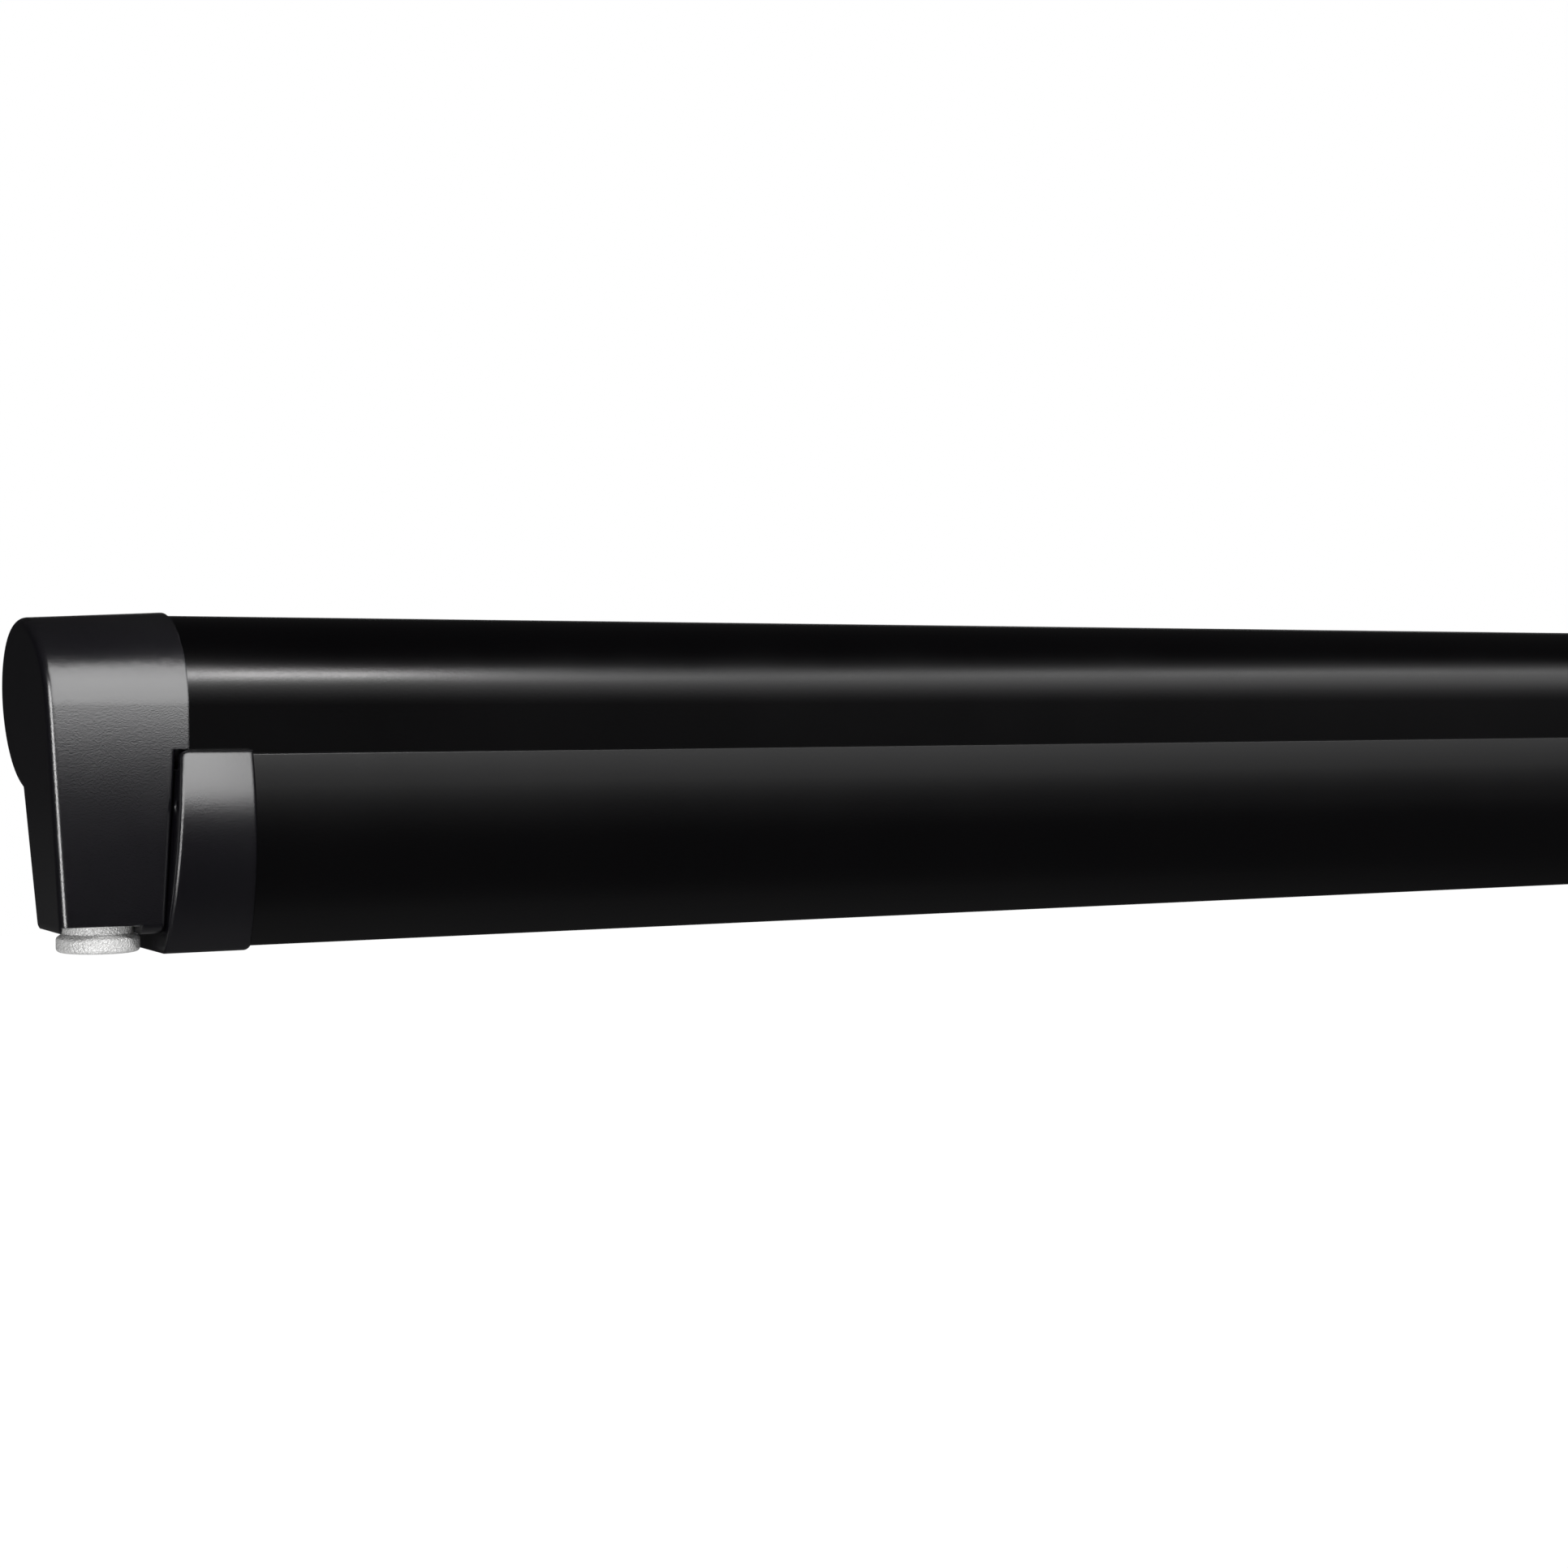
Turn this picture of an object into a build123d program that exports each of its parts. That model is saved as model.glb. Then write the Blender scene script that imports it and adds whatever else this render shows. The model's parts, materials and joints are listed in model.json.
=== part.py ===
from build123d import *
import os
from math import acos, asin, atan2, cos, degrees, hypot, pi, radians, sin, sqrt

# Roll out awning for a caravan wall: a black cassette with a hand crank, two folding arms that push
# the lead rail out, and two legs that fold into the lead rail.
# X runs along the awning, Y runs into the wall, Z runs up, all in millimetres.
# The origin lies in the wall plane, in the middle of the outer wall bolts.

os.makedirs("parts", exist_ok=True)

# Driving dimensions
awning_length = 2600.0
cap_width = 53.3
case_radius = 34.8
roller_to_wall = 46.0
roller_above_bolts = 22.0
pitch_angle = 8.0
shoulder_to_end = 100.0
elbow_to_middle = 120.0
arm_depth = 18.0
arm_height = 25.0
arm_gap = 2.0
fabric_to_case_end = 56.7
fabric_length = 2100.0
fabric_thickness = 0.45

# Clearances that several pieces share
shaft_fit = 0.05
loose_fit = 0.3
tube_fit = 0.2
slide_gap = 0.4
overrun = 20.0
merge_depth = 5.0

# Placing: every cross section is drawn from the roller axis, local x to the wall, local y up
roller_y = -roller_to_wall
roller_z = roller_above_bolts
case_end = awning_length / 2 - cap_width
fabric_width = 2 * (case_end - fabric_to_case_end)
shoulder_to_middle = awning_length / 2 - shoulder_to_end
arm_length = shoulder_to_middle - elbow_to_middle
pitch_sin = sin(radians(pitch_angle))
pitch_cos = cos(radians(pitch_angle))


def section_plane(x):
    """The cross section at x, from the roller axis."""
    return Plane(origin=(x, roller_y, roller_z), x_dir=(0, 1, 0), z_dir=(1, 0, 0))


def arm_plane(level):
    """The plane in which the arms fold, at a level above the roller axis: local x along the awning,
    local y back to the wall."""
    origin = (0, roller_y - level * pitch_sin, roller_z + level * pitch_cos)
    return Plane(origin=origin, x_dir=(1, 0, 0), z_dir=(0, -pitch_sin, pitch_cos))


def level_plane(height):
    """A level plane at a height above the roller axis: local x along the awning, local y to the wall."""
    return Plane(origin=(0, roller_y, roller_z + height), x_dir=(1, 0, 0), z_dir=(0, 0, 1))


def upright_plane(y):
    """An upright plane along the awning, facing the front: local x along the awning, local y up."""
    return Plane(origin=(0, roller_y + y, roller_z), x_dir=(1, 0, 0), z_dir=(0, -1, 0))


def circle_through(a, b, c):
    """Centre and radius of the circle through three points of a section."""
    d = 2 * (a[0] * (b[1] - c[1]) + b[0] * (c[1] - a[1]) + c[0] * (a[1] - b[1]))
    squares = [p[0] ** 2 + p[1] ** 2 for p in (a, b, c)]
    x = (squares[0] * (b[1] - c[1]) + squares[1] * (c[1] - a[1]) + squares[2] * (a[1] - b[1])) / d
    y = (squares[0] * (c[0] - b[0]) + squares[1] * (a[0] - c[0]) + squares[2] * (b[0] - a[0])) / d
    return x, y, hypot(a[0] - x, a[1] - y)


def on_circle(radius, angle):
    """A point of a section at an angle from the wall side, counted upwards."""
    return radius * cos(radians(angle)), radius * sin(radians(angle))


def mirrored(piece):
    """The right hand twin of a left hand piece."""
    with BuildPart() as twin:
        mirror(piece, about=Plane.YZ)
    return twin.part


def save(piece, name):
    """Label a finished piece and write it under its own name."""
    piece.label = name
    export_step(piece, f"parts/{name}.step")


# Arm geometry: the shoulder and the wrist pin stand in line when folded, the elbow halfway between
arm_reach = arm_depth + arm_gap
arm_level = -49.0
upper_arm_line = -13.2
forearm_line = upper_arm_line - arm_reach
elbow_line = upper_arm_line - arm_reach / 2
fold_angle = asin(arm_reach / 2 / arm_length)
shoulder_x = -shoulder_to_middle
elbow_x = shoulder_x + arm_length * cos(fold_angle)


def arm_section(x, line):
    """The cross section of an arm at x, on its own line: local x back to the wall, local y up."""
    y, z = arm_to_section(line, arm_level)
    return Plane(
        origin=(x, roller_y + y, roller_z + z),
        x_dir=(0, pitch_cos, pitch_sin),
        z_dir=(1, 0, 0),
    )


def arm_to_section(back, level):
    """Section coordinates of a point given in the arms' plane."""
    return back * pitch_cos - level * pitch_sin, back * pitch_sin + level * pitch_cos


# Screws: planes carry the heads, local z runs into the work
def countersunk_screws(planes, reach, radius, head, head_depth, mode=Mode.ADD):
    """Countersunk screws, or the holes for them."""
    for plane in planes:
        with BuildSketch(plane) as rim:
            Circle(head)
        with BuildSketch(plane.offset(head_depth)) as neck:
            Circle(radius)
        loft([rim.sketch.faces()[0], neck.sketch.faces()[0]], mode=mode)
        extrude(neck.sketch, amount=reach - head_depth, mode=mode)


def pan_screws(planes, reach, radius, head, head_height):
    """Screws with round heads that stand on their planes."""
    for plane in planes:
        with BuildSketch(plane) as rim:
            Circle(head)
        extrude(rim.sketch, amount=-head_height)
        with BuildSketch(plane) as shank:
            Circle(radius)
        extrude(shank.sketch, amount=reach)


def round_holes(planes, reach, radius):
    """Holes that run into their planes."""
    for plane in planes:
        with BuildSketch(plane) as bore:
            Circle(radius)
        extrude(bore.sketch, amount=reach, mode=Mode.SUBTRACT)


def on_both_ends(planes):
    """Planes of the left end and their mirror images at the right end."""
    twins = []
    for plane in planes:
        x, y, z = plane.origin
        a, b, c = plane.z_dir
        across = (1, 0, 0) if a == 0 else (0, 1, 0)
        twins.append(Plane(origin=(-x, y, z), x_dir=across, z_dir=(-a, b, c)))
    return planes + twins


# Case profile: the round chamber for the roll, a lip in front, a wall behind the arms
case_wall = 2.0
lip_drop = 22.0
chamber_floor_end = -6.0
back_wall_top = (12.0, -32.66)
back_wall_foot = (4.5, -85.0)
screw_port_radius = 2.9
screw_port_bore = 1.65
screw_port_place = 30.4
screw_port_angles = (65.0, 130.0, -40.0)
hook_root = 20.0
hook_top = 28.5
hook_wall = 2.0
hook_back = 37.5
hook_tip = 16.0
clamp_rib_top = -58.0
clamp_rib_wall = 2.5
clamp_rib_back = 18.0

# Shoulder brackets: a clevis for the upper arm on a wedge that is screwed to the back wall
eye_radius = 9.0
tongue_radius = 9.5
tongue_wall = 4.8
pin_radius = 4.0
pin_stick_out = 0.8
pin_chamfer = 0.6
eye_height = arm_height - 2 * tongue_wall - 2 * slide_gap
eye_gap = 0.3
arm_top = arm_level + arm_height / 2
arm_bottom = arm_level - arm_height / 2
shoulder_face = upper_arm_line + arm_depth / 2 + eye_gap
shoulder_plate_half = 36.0
shoulder_screw_places = (-28.0, 22.0)
shoulder_screw_levels = (-3.0, 7.5)
shoulder_screw_radius = 2.5
shoulder_screw_head = 4.4
shoulder_screw_head_depth = 1.6
shoulder_screw_sink = 1.4
shoulder_screw_reach = 12.6
shoulder_nut_radius = 4.4
shoulder_nut_height = 4.0
back_wall_lean = atan2(back_wall_top[0] - back_wall_foot[0], back_wall_top[1] - back_wall_foot[1])

# Wall brackets: a lip that holds the case's hook, an arm that is bolted to its rib
bracket_to_end = 300.0
bracket_to_middle = awning_length / 2 - bracket_to_end
bracket_places = (-bracket_to_middle, 0, bracket_to_middle)
bracket_width = 60.0
bracket_wall = 6.0
bracket_top = 24.0
bracket_arm_wall = 6.0
bracket_arm_front = 9.4
bracket_root_wall = 3.0
bracket_lip_front = 33.0
bracket_lip_wall = 2.2
bracket_root_gap = 0.5
bracket_fillet = 5.0
wall_bolt_radius = 4.25
wall_bolt_spacing = 60.0
clamp_bolt_line = 14.2
clamp_bolt_spacing = 30.0
clamp_bolt_radius = 3.0
clamp_bolt_head = 5.0
clamp_bolt_head_height = 4.0
clamp_nut_height = 5.0


def back_wall_at(height):
    """Outer face of the case's back wall at a height of the section."""
    share = (height - back_wall_top[1]) / (back_wall_foot[1] - back_wall_top[1])
    return back_wall_top[0] + share * (back_wall_foot[0] - back_wall_top[0])


def shoulder_screw_planes():
    """Planes of the left shoulder's screw heads, square to the back wall."""
    planes = []
    for place in shoulder_screw_places:
        for level in shoulder_screw_levels:
            y, z = arm_to_section(shoulder_face + shoulder_screw_sink, arm_level + level)
            planes.append(
                Plane(
                    origin=(shoulder_x + place, roller_y + y, roller_z + z),
                    x_dir=(1, 0, 0),
                    z_dir=(0, cos(back_wall_lean), -sin(back_wall_lean)),
                )
            )
    return planes


def clamp_bolt_planes():
    """Planes of the clamp bolts' heads, under the arms of the wall brackets."""
    planes = []
    for place in bracket_places:
        for side in (-1, 1):
            planes.append(
                Plane(
                    origin=(
                        place + side * clamp_bolt_spacing / 2,
                        roller_y + clamp_bolt_line,
                        roller_z + clamp_rib_top - clamp_rib_wall - bracket_arm_wall,
                    ),
                    x_dir=(1, 0, 0),
                    z_dir=(0, 0, 1),
                )
            )
    return planes


clamp_bolt_reach = bracket_arm_wall + clamp_rib_wall + clamp_nut_height

with BuildPart() as case_profile:
    with BuildSketch(section_plane(-case_end)):
        Circle(case_radius)
        Circle(case_radius - case_wall, mode=Mode.SUBTRACT)
        with Locations((chamber_floor_end, 0)):
            Rectangle(case_radius * 2, case_radius * 2, align=(Align.MAX, Align.MAX), mode=Mode.SUBTRACT)
        with Locations((-case_radius, 0)):
            Rectangle(case_wall, lip_drop, align=(Align.MIN, Align.MAX))
        with BuildLine():
            start = back_wall_top[1] + case_wall / 2
            Polyline(
                (back_wall_at(start), start),
                back_wall_foot,
                (back_wall_foot[0] - case_wall, back_wall_foot[1]),
                (back_wall_at(start) - case_wall, start),
                close=True,
            )
        make_face()
        for angle in screw_port_angles:
            with Locations(on_circle(screw_port_place, angle)):
                Circle(screw_port_radius)
        with Locations((hook_root, hook_top)):
            Rectangle(hook_back - hook_root, hook_wall, align=(Align.MIN, Align.MAX))
        with Locations((hook_back, hook_top)):
            Rectangle(hook_wall, hook_top - hook_tip, align=(Align.MAX, Align.MAX))
        rib_start = back_wall_at(clamp_rib_top) - case_wall / 2
        with Locations((rib_start, clamp_rib_top)):
            Rectangle(clamp_rib_back - rib_start, clamp_rib_wall, align=(Align.MIN, Align.MAX))
        for angle in screw_port_angles:
            with Locations(on_circle(screw_port_place, angle)):
                Circle(screw_port_bore, mode=Mode.SUBTRACT)
    extrude(amount=2 * case_end)
    round_holes(
        on_both_ends(shoulder_screw_planes()),
        shoulder_screw_reach,
        shoulder_screw_radius + shaft_fit,
    )
    round_holes(clamp_bolt_planes(), clamp_bolt_reach, clamp_bolt_radius + shaft_fit)
save(case_profile.part, "case_profile")

seal_wall = 1.2
seal_height = 3.4
with BuildPart() as front_seal:
    with BuildSketch(section_plane(-case_end)):
        with Locations((-case_radius, -lip_drop)):
            Rectangle(seal_wall, seal_height, align=(Align.MAX, Align.MIN))
    extrude(amount=2 * case_end)
save(front_seal.part, "front_seal")


def clevis_tongues(x, line, reach, back):
    """Two tongues round a pin at x, each running to the plate that carries it, behind or in front."""
    for level in (arm_bottom, arm_top - tongue_wall):
        with BuildSketch(arm_plane(level)) as tongue:
            with Locations((x, line)):
                Circle(tongue_radius)
                Rectangle(
                    2 * tongue_radius,
                    reach,
                    align=(Align.CENTER, Align.MIN if back else Align.MAX),
                )
        extrude(tongue.sketch, amount=tongue_wall)


def pin_hole(x, line):
    """A pin's hole through the full height of the arms."""
    with BuildSketch(arm_plane(arm_level)) as bore:
        with Locations((x, line)):
            Circle(pin_radius + shaft_fit)
    extrude(bore.sketch, amount=arm_height, both=True, mode=Mode.SUBTRACT)


def arm_pin(x, line):
    """A pin that stands a little out of the tongues at both ends."""
    with BuildPart() as pin:
        with BuildSketch(arm_plane(arm_bottom - pin_stick_out)):
            with Locations((x, line)):
                Circle(pin_radius)
        extrude(amount=arm_height + 2 * pin_stick_out)
        chamfer(pin.edges().filter_by(GeomType.CIRCLE), pin_chamfer)
    return pin.part


with BuildPart() as shoulder_bracket:
    top_front = arm_to_section(shoulder_face, arm_top)
    bottom_front = arm_to_section(shoulder_face, arm_bottom)
    with BuildSketch(section_plane(shoulder_x - shoulder_plate_half)):
        with BuildLine():
            Polyline(
                top_front,
                (back_wall_at(top_front[1]) - case_wall, top_front[1]),
                (back_wall_at(bottom_front[1]) - case_wall, bottom_front[1]),
                bottom_front,
                close=True,
            )
        make_face()
    extrude(amount=2 * shoulder_plate_half)
    clevis_tongues(shoulder_x, upper_arm_line, shoulder_face - upper_arm_line + eye_gap, True)
    pin_hole(shoulder_x, upper_arm_line)
    round_holes(
        [plane.offset(-2 * shoulder_screw_sink) for plane in shoulder_screw_planes()],
        2 * shoulder_screw_sink,
        shoulder_screw_head + shaft_fit,
    )
    countersunk_screws(
        shoulder_screw_planes(),
        shoulder_screw_reach,
        shoulder_screw_radius + shaft_fit,
        shoulder_screw_head + shaft_fit,
        shoulder_screw_head_depth,
        Mode.SUBTRACT,
    )
save(shoulder_bracket.part, "shoulder_bracket_left")
save(mirrored(shoulder_bracket.part), "shoulder_bracket_right")

with BuildPart() as shoulder_screws:
    for plane in on_both_ends(shoulder_screw_planes()):
        countersunk_screws(
            [plane],
            shoulder_screw_reach,
            shoulder_screw_radius,
            shoulder_screw_head,
            shoulder_screw_head_depth,
        )
    for plane in on_both_ends(shoulder_screw_planes()):
        height = plane.origin.Z - roller_z
        front = plane.origin.Y - roller_y
        nut_start = (back_wall_at(height) - front) * cos(back_wall_lean)
        with BuildSketch(plane.offset(nut_start)):
            RegularPolygon(shoulder_nut_radius, 6)
            Circle(shoulder_screw_radius, mode=Mode.SUBTRACT)
        extrude(amount=shoulder_nut_height)
save(shoulder_screws.part, "shoulder_screws")

with BuildPart() as shoulder_pins:
    add(arm_pin(shoulder_x, upper_arm_line))
    mirror(about=Plane.YZ)
save(shoulder_pins.part, "shoulder_pins")

with BuildPart() as wall_brackets:
    for place in bracket_places:
        arm_high = clamp_rib_top - clamp_rib_wall
        root_high = hook_tip - bracket_root_gap
        with BuildSketch(section_plane(place - bracket_width / 2)) as outline:
            with Locations((roller_to_wall, bracket_top)):
                Rectangle(
                    bracket_wall,
                    bracket_top - arm_high + bracket_arm_wall,
                    align=(Align.MAX, Align.MAX),
                )
            with Locations((bracket_arm_front, arm_high)):
                Rectangle(
                    roller_to_wall - bracket_arm_front,
                    bracket_arm_wall,
                    align=(Align.MIN, Align.MAX),
                )
            with Locations((bracket_lip_front, root_high)):
                Rectangle(
                    roller_to_wall - bracket_lip_front,
                    bracket_root_wall,
                    align=(Align.MIN, Align.MAX),
                )
            with Locations((bracket_lip_front, root_high - bracket_root_wall)):
                Rectangle(
                    bracket_lip_wall,
                    hook_top - hook_wall - root_high + bracket_root_wall,
                    align=(Align.MIN, Align.MIN),
                )
        extrude(outline.sketch, amount=bracket_width)
    inner_corners = wall_brackets.edges().filter_by(Axis.X).filter_by_position(
        Axis.Y, -bracket_wall - shaft_fit, -bracket_wall + shaft_fit
    )
    fillet(
        inner_corners.group_by(Axis.Z)[1],
        bracket_fillet,
    )
    for place in bracket_places:
        with Locations(Plane(origin=(place, 0, 0), x_dir=(1, 0, 0), z_dir=(0, -1, 0))):
            with GridLocations(0, wall_bolt_spacing, 1, 2):
                Hole(wall_bolt_radius, depth=bracket_wall * 2)
    round_holes(clamp_bolt_planes(), bracket_arm_wall, clamp_bolt_radius + shaft_fit)
save(wall_brackets.part, "wall_brackets")

with BuildPart() as bracket_clamp_bolts:
    for plane in clamp_bolt_planes():
        with BuildSketch(plane):
            RegularPolygon(clamp_bolt_head, 6)
        extrude(amount=-clamp_bolt_head_height)
        with BuildSketch(plane):
            Circle(clamp_bolt_radius)
        extrude(amount=clamp_bolt_reach)
        with BuildSketch(plane.offset(clamp_bolt_reach - clamp_nut_height)):
            RegularPolygon(clamp_bolt_head, 6)
        extrude(amount=clamp_nut_height)
save(bracket_clamp_bolts.part, "bracket_clamp_bolts")

# Roller: a tube with the rolled fabric, a drive plug on the left, an idler plug on the right
roller_radius = 20.0
roller_wall = 1.2
roller_end_gap = 2.6
plug_depth = 40.0
flange_wall = 2.0
journal_radius = 7.0
axle_radius = 6.0
roll_radius = sqrt(roller_radius ** 2 + fabric_length * fabric_thickness / pi)
tube_end = case_end - roller_end_gap - flange_wall

# End plates and gear housings
plate_wall = 4.0
plate_radius = 32.4
housing_depth = 41.0
housing_front = -24.0
housing_back = 14.0
housing_half = 17.0
flange_reach = (-32.0, 24.5)
flange_half = 8.5
housing_flange_wall = 4.0
housing_screw_places = ((-29.0, -5.5), (-29.0, 5.5), (20.0, -5.5), (20.0, 5.5))
housing_screw_radius = 1.5
housing_screw_head = 2.8
housing_screw_head_height = 2.0
port_screw_head = 2.8
port_screw_head_height = 2.2
port_screw_reach = 20.0
wheel_room_radius = 12.0
crank_to_end = 23.5
crank_line = -16.0
crank_x = -awning_length / 2 + crank_to_end
worm_room_radius = 6.0
worm_room_top = 12.6
shaft_radius = 5.5
shaft_tip_radius = 3.0
shaft_tip_top = 15.5
shaft_tube_radius = 9.0
shaft_tube_bottom = -62.0
post_radius = 3.0
post_place = 37.5
post_lines = (-25.5, -5.5)
cap_bottom = -86.0
cap_wall = 2.6
cap_screw_reach = 14.0
cap_screw_radius = 1.5
cap_screw_head = 2.9
cap_screw_head_depth = 1.4

# Crank gear
wheel_teeth = 23
wheel_tip_radius = 10.3
wheel_root_radius = 8.3
wheel_width = 10.0
tooth_foot_share = 0.56
tooth_tip_share = 0.3
tooth_root_share = 0.95
worm_tip_radius = 5.4
worm_core_radius = 3.6
worm_half = 11.0
worm_starts = 3
worm_thread_foot = 1.6
worm_thread_tip = 0.7


tooth_pitch = 2 * pi * wheel_tip_radius / wheel_teeth


def axle_plug(journal_reach):
    """A plug in the left end of the roller tube with a journal in the end plate and an axle beyond."""
    with BuildPart() as plug:
        with BuildSketch(section_plane(-tube_end)):
            Circle(roller_radius - roller_wall - shaft_fit)
        extrude(amount=plug_depth)
        with BuildSketch(section_plane(-tube_end - flange_wall)):
            Circle(roller_radius)
        extrude(amount=flange_wall)
        with BuildSketch(section_plane(-tube_end)):
            Circle(journal_radius)
        extrude(amount=-(case_end + plate_wall - tube_end))
        with BuildSketch(section_plane(-tube_end)):
            Circle(axle_radius)
        extrude(amount=-journal_reach)
        chamfer(plug.faces().sort_by(Axis.X)[0].edges(), pin_chamfer)
    return plug.part


with BuildPart() as roller_tube:
    with BuildSketch(section_plane(-tube_end)):
        Circle(roller_radius)
        Circle(roller_radius - roller_wall, mode=Mode.SUBTRACT)
    extrude(amount=2 * tube_end)
save(roller_tube.part, "roller_tube")

with BuildPart() as fabric_roll:
    with BuildSketch(section_plane(-fabric_width / 2)):
        Circle(roll_radius)
        Circle(roller_radius, mode=Mode.SUBTRACT)
    extrude(amount=fabric_width)
save(fabric_roll.part, "fabric_roll")

axle_reach = case_end + plate_wall + housing_depth - tube_end - loose_fit
save(axle_plug(axle_reach), "drive_plug")
save(mirrored(axle_plug(axle_reach)), "idler_plug")

with BuildPart() as worm_wheel:
    with BuildSketch(section_plane(crank_x - wheel_width / 2)):
        Circle(wheel_root_radius)
        foot = tooth_foot_share * pi / wheel_teeth
        tip = tooth_tip_share * pi / wheel_teeth
        with PolarLocations(0, wheel_teeth):
            Polygon(
                (wheel_root_radius * tooth_root_share, wheel_root_radius * sin(foot)),
                (wheel_root_radius * tooth_root_share, -wheel_root_radius * sin(foot)),
                (wheel_tip_radius * cos(tip), -wheel_tip_radius * sin(tip)),
                (wheel_tip_radius * cos(tip), wheel_tip_radius * sin(tip)),
                align=None,
            )
        Circle(axle_radius + shaft_fit, mode=Mode.SUBTRACT)
    extrude(amount=wheel_width)
save(worm_wheel.part, "worm_wheel")


def crank_plane(height):
    """A level plane round the crank axis at a height above the roller axis."""
    return Plane(
        origin=(crank_x, roller_y + crank_line, roller_z + height),
        x_dir=(1, 0, 0),
        z_dir=(0, 0, 1),
    )


def post_planes(height):
    """Planes under the posts that carry the left end cap."""
    places = [(-awning_length / 2 + post_place, line) for line in post_lines]
    return [
        Plane(origin=(x, roller_y + line, roller_z + height), x_dir=(1, 0, 0), z_dir=(0, 0, 1))
        for x, line in places
    ]


def housing_screw_planes():
    """Planes of the screw heads on the left housing's flange."""
    x = -case_end - plate_wall - housing_flange_wall
    return [
        Plane(origin=(x, roller_y + y, roller_z + z), x_dir=(0, 1, 0), z_dir=(1, 0, 0))
        for y, z in housing_screw_places
    ]


def port_screw_planes():
    """Planes of the screw heads on the left end plate."""
    places = [on_circle(screw_port_place, angle) for angle in screw_port_angles]
    return [
        Plane(origin=(-case_end - plate_wall, roller_y + y, roller_z + z), x_dir=(0, 1, 0), z_dir=(1, 0, 0))
        for y, z in places
    ]


def end_housing(with_gear):
    """The left casting outside the end plate: it carries the axle's end and the cap's posts."""
    inner_face = -case_end - plate_wall
    with BuildPart() as housing:
        with BuildSketch(section_plane(inner_face)) as block:
            with Locations((housing_front, 0)):
                Rectangle(housing_back - housing_front, 2 * housing_half, align=(Align.MIN, Align.CENTER))
        extrude(block.sketch, amount=-housing_depth)
        with BuildSketch(section_plane(inner_face)) as flange:
            with Locations((flange_reach[0], 0)):
                Rectangle(
                    flange_reach[1] - flange_reach[0],
                    2 * flange_half,
                    align=(Align.MIN, Align.CENTER),
                )
        extrude(flange.sketch, amount=-housing_flange_wall)
        for plane in post_planes(cap_bottom + cap_wall):
            with BuildSketch(plane) as post:
                Circle(post_radius)
            extrude(post.sketch, amount=-housing_half - cap_bottom - cap_wall + merge_depth)
        if with_gear:
            with BuildSketch(crank_plane(shaft_tube_bottom)) as tube:
                Circle(shaft_tube_radius)
            extrude(tube.sketch, amount=-shaft_tube_bottom - housing_half + merge_depth)
        with BuildSketch(section_plane(inner_face)) as room:
            Circle(wheel_room_radius)
        extrude(room.sketch, amount=crank_x - wheel_width / 2 - loose_fit - inner_face, mode=Mode.SUBTRACT)
        with BuildSketch(section_plane(inner_face)) as bore:
            Circle(axle_radius + shaft_fit)
        extrude(bore.sketch, amount=-housing_depth, mode=Mode.SUBTRACT)
        if with_gear:
            with BuildSketch(crank_plane(worm_room_top)) as worm_room:
                Circle(worm_room_radius)
            extrude(worm_room.sketch, amount=-worm_room_top - housing_half, mode=Mode.SUBTRACT)
            with BuildSketch(crank_plane(worm_room_top)) as shaft_bore:
                Circle(shaft_radius + shaft_fit)
            extrude(shaft_bore.sketch, amount=-worm_room_top + shaft_tube_bottom, mode=Mode.SUBTRACT)
            with BuildSketch(crank_plane(worm_room_top)) as tip_bore:
                Circle(shaft_tip_radius + shaft_fit)
            extrude(tip_bore.sketch, amount=shaft_tip_top - worm_room_top + loose_fit, mode=Mode.SUBTRACT)
        round_holes(
            post_planes(cap_bottom + cap_wall),
            cap_screw_reach,
            cap_screw_radius + shaft_fit,
        )
        round_holes(housing_screw_planes(), housing_flange_wall, housing_screw_radius + shaft_fit)
    return housing.part


save(end_housing(True), "gearbox_housing")
save(mirrored(end_housing(False)), "idler_housing")

with BuildPart() as end_plate:
    with BuildSketch(section_plane(-case_end - plate_wall)):
        Circle(plate_radius)
        Circle(journal_radius + shaft_fit, mode=Mode.SUBTRACT)
    extrude(amount=plate_wall)
    round_holes(port_screw_planes(), plate_wall, screw_port_bore)
    round_holes(housing_screw_planes(), plate_wall + housing_flange_wall, housing_screw_radius + shaft_fit)
save(end_plate.part, "end_plate_left")
save(mirrored(end_plate.part), "end_plate_right")

with BuildPart() as end_screws:
    port_screw_radius = screw_port_bore - shaft_fit
    pan_screws(
        on_both_ends(port_screw_planes()),
        port_screw_reach,
        port_screw_radius,
        port_screw_head,
        port_screw_head_height,
    )
    pan_screws(
        on_both_ends(housing_screw_planes()),
        plate_wall + housing_flange_wall,
        housing_screw_radius,
        housing_screw_head,
        housing_screw_head_height,
    )
    countersunk_screws(
        on_both_ends(post_planes(cap_bottom)),
        cap_screw_reach,
        cap_screw_radius,
        cap_screw_head,
        cap_screw_head_depth,
    )
save(end_screws.part, "end_screws")

# Crank shaft with its worm, and the socket below the cap
socket_hub_radius = 11.0
socket_hub_top = -64.0
socket_neck_radius = 13.3
socket_neck_top = -81.8
socket_neck_bottom = -86.0
socket_rim_radius = 15.6
socket_rim_top = -87.7
socket_bottom = -93.1
socket_rim_round = 1.6
socket_bore = 9.0
socket_inner_bore = 8.0
socket_step = -82.0
socket_floor = -72.5
socket_mouth = 11.0
socket_mouth_depth = 1.3
shaft_end = -72.0
cross_pin_radius = 2.0
cross_pin_height = -79.5


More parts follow.
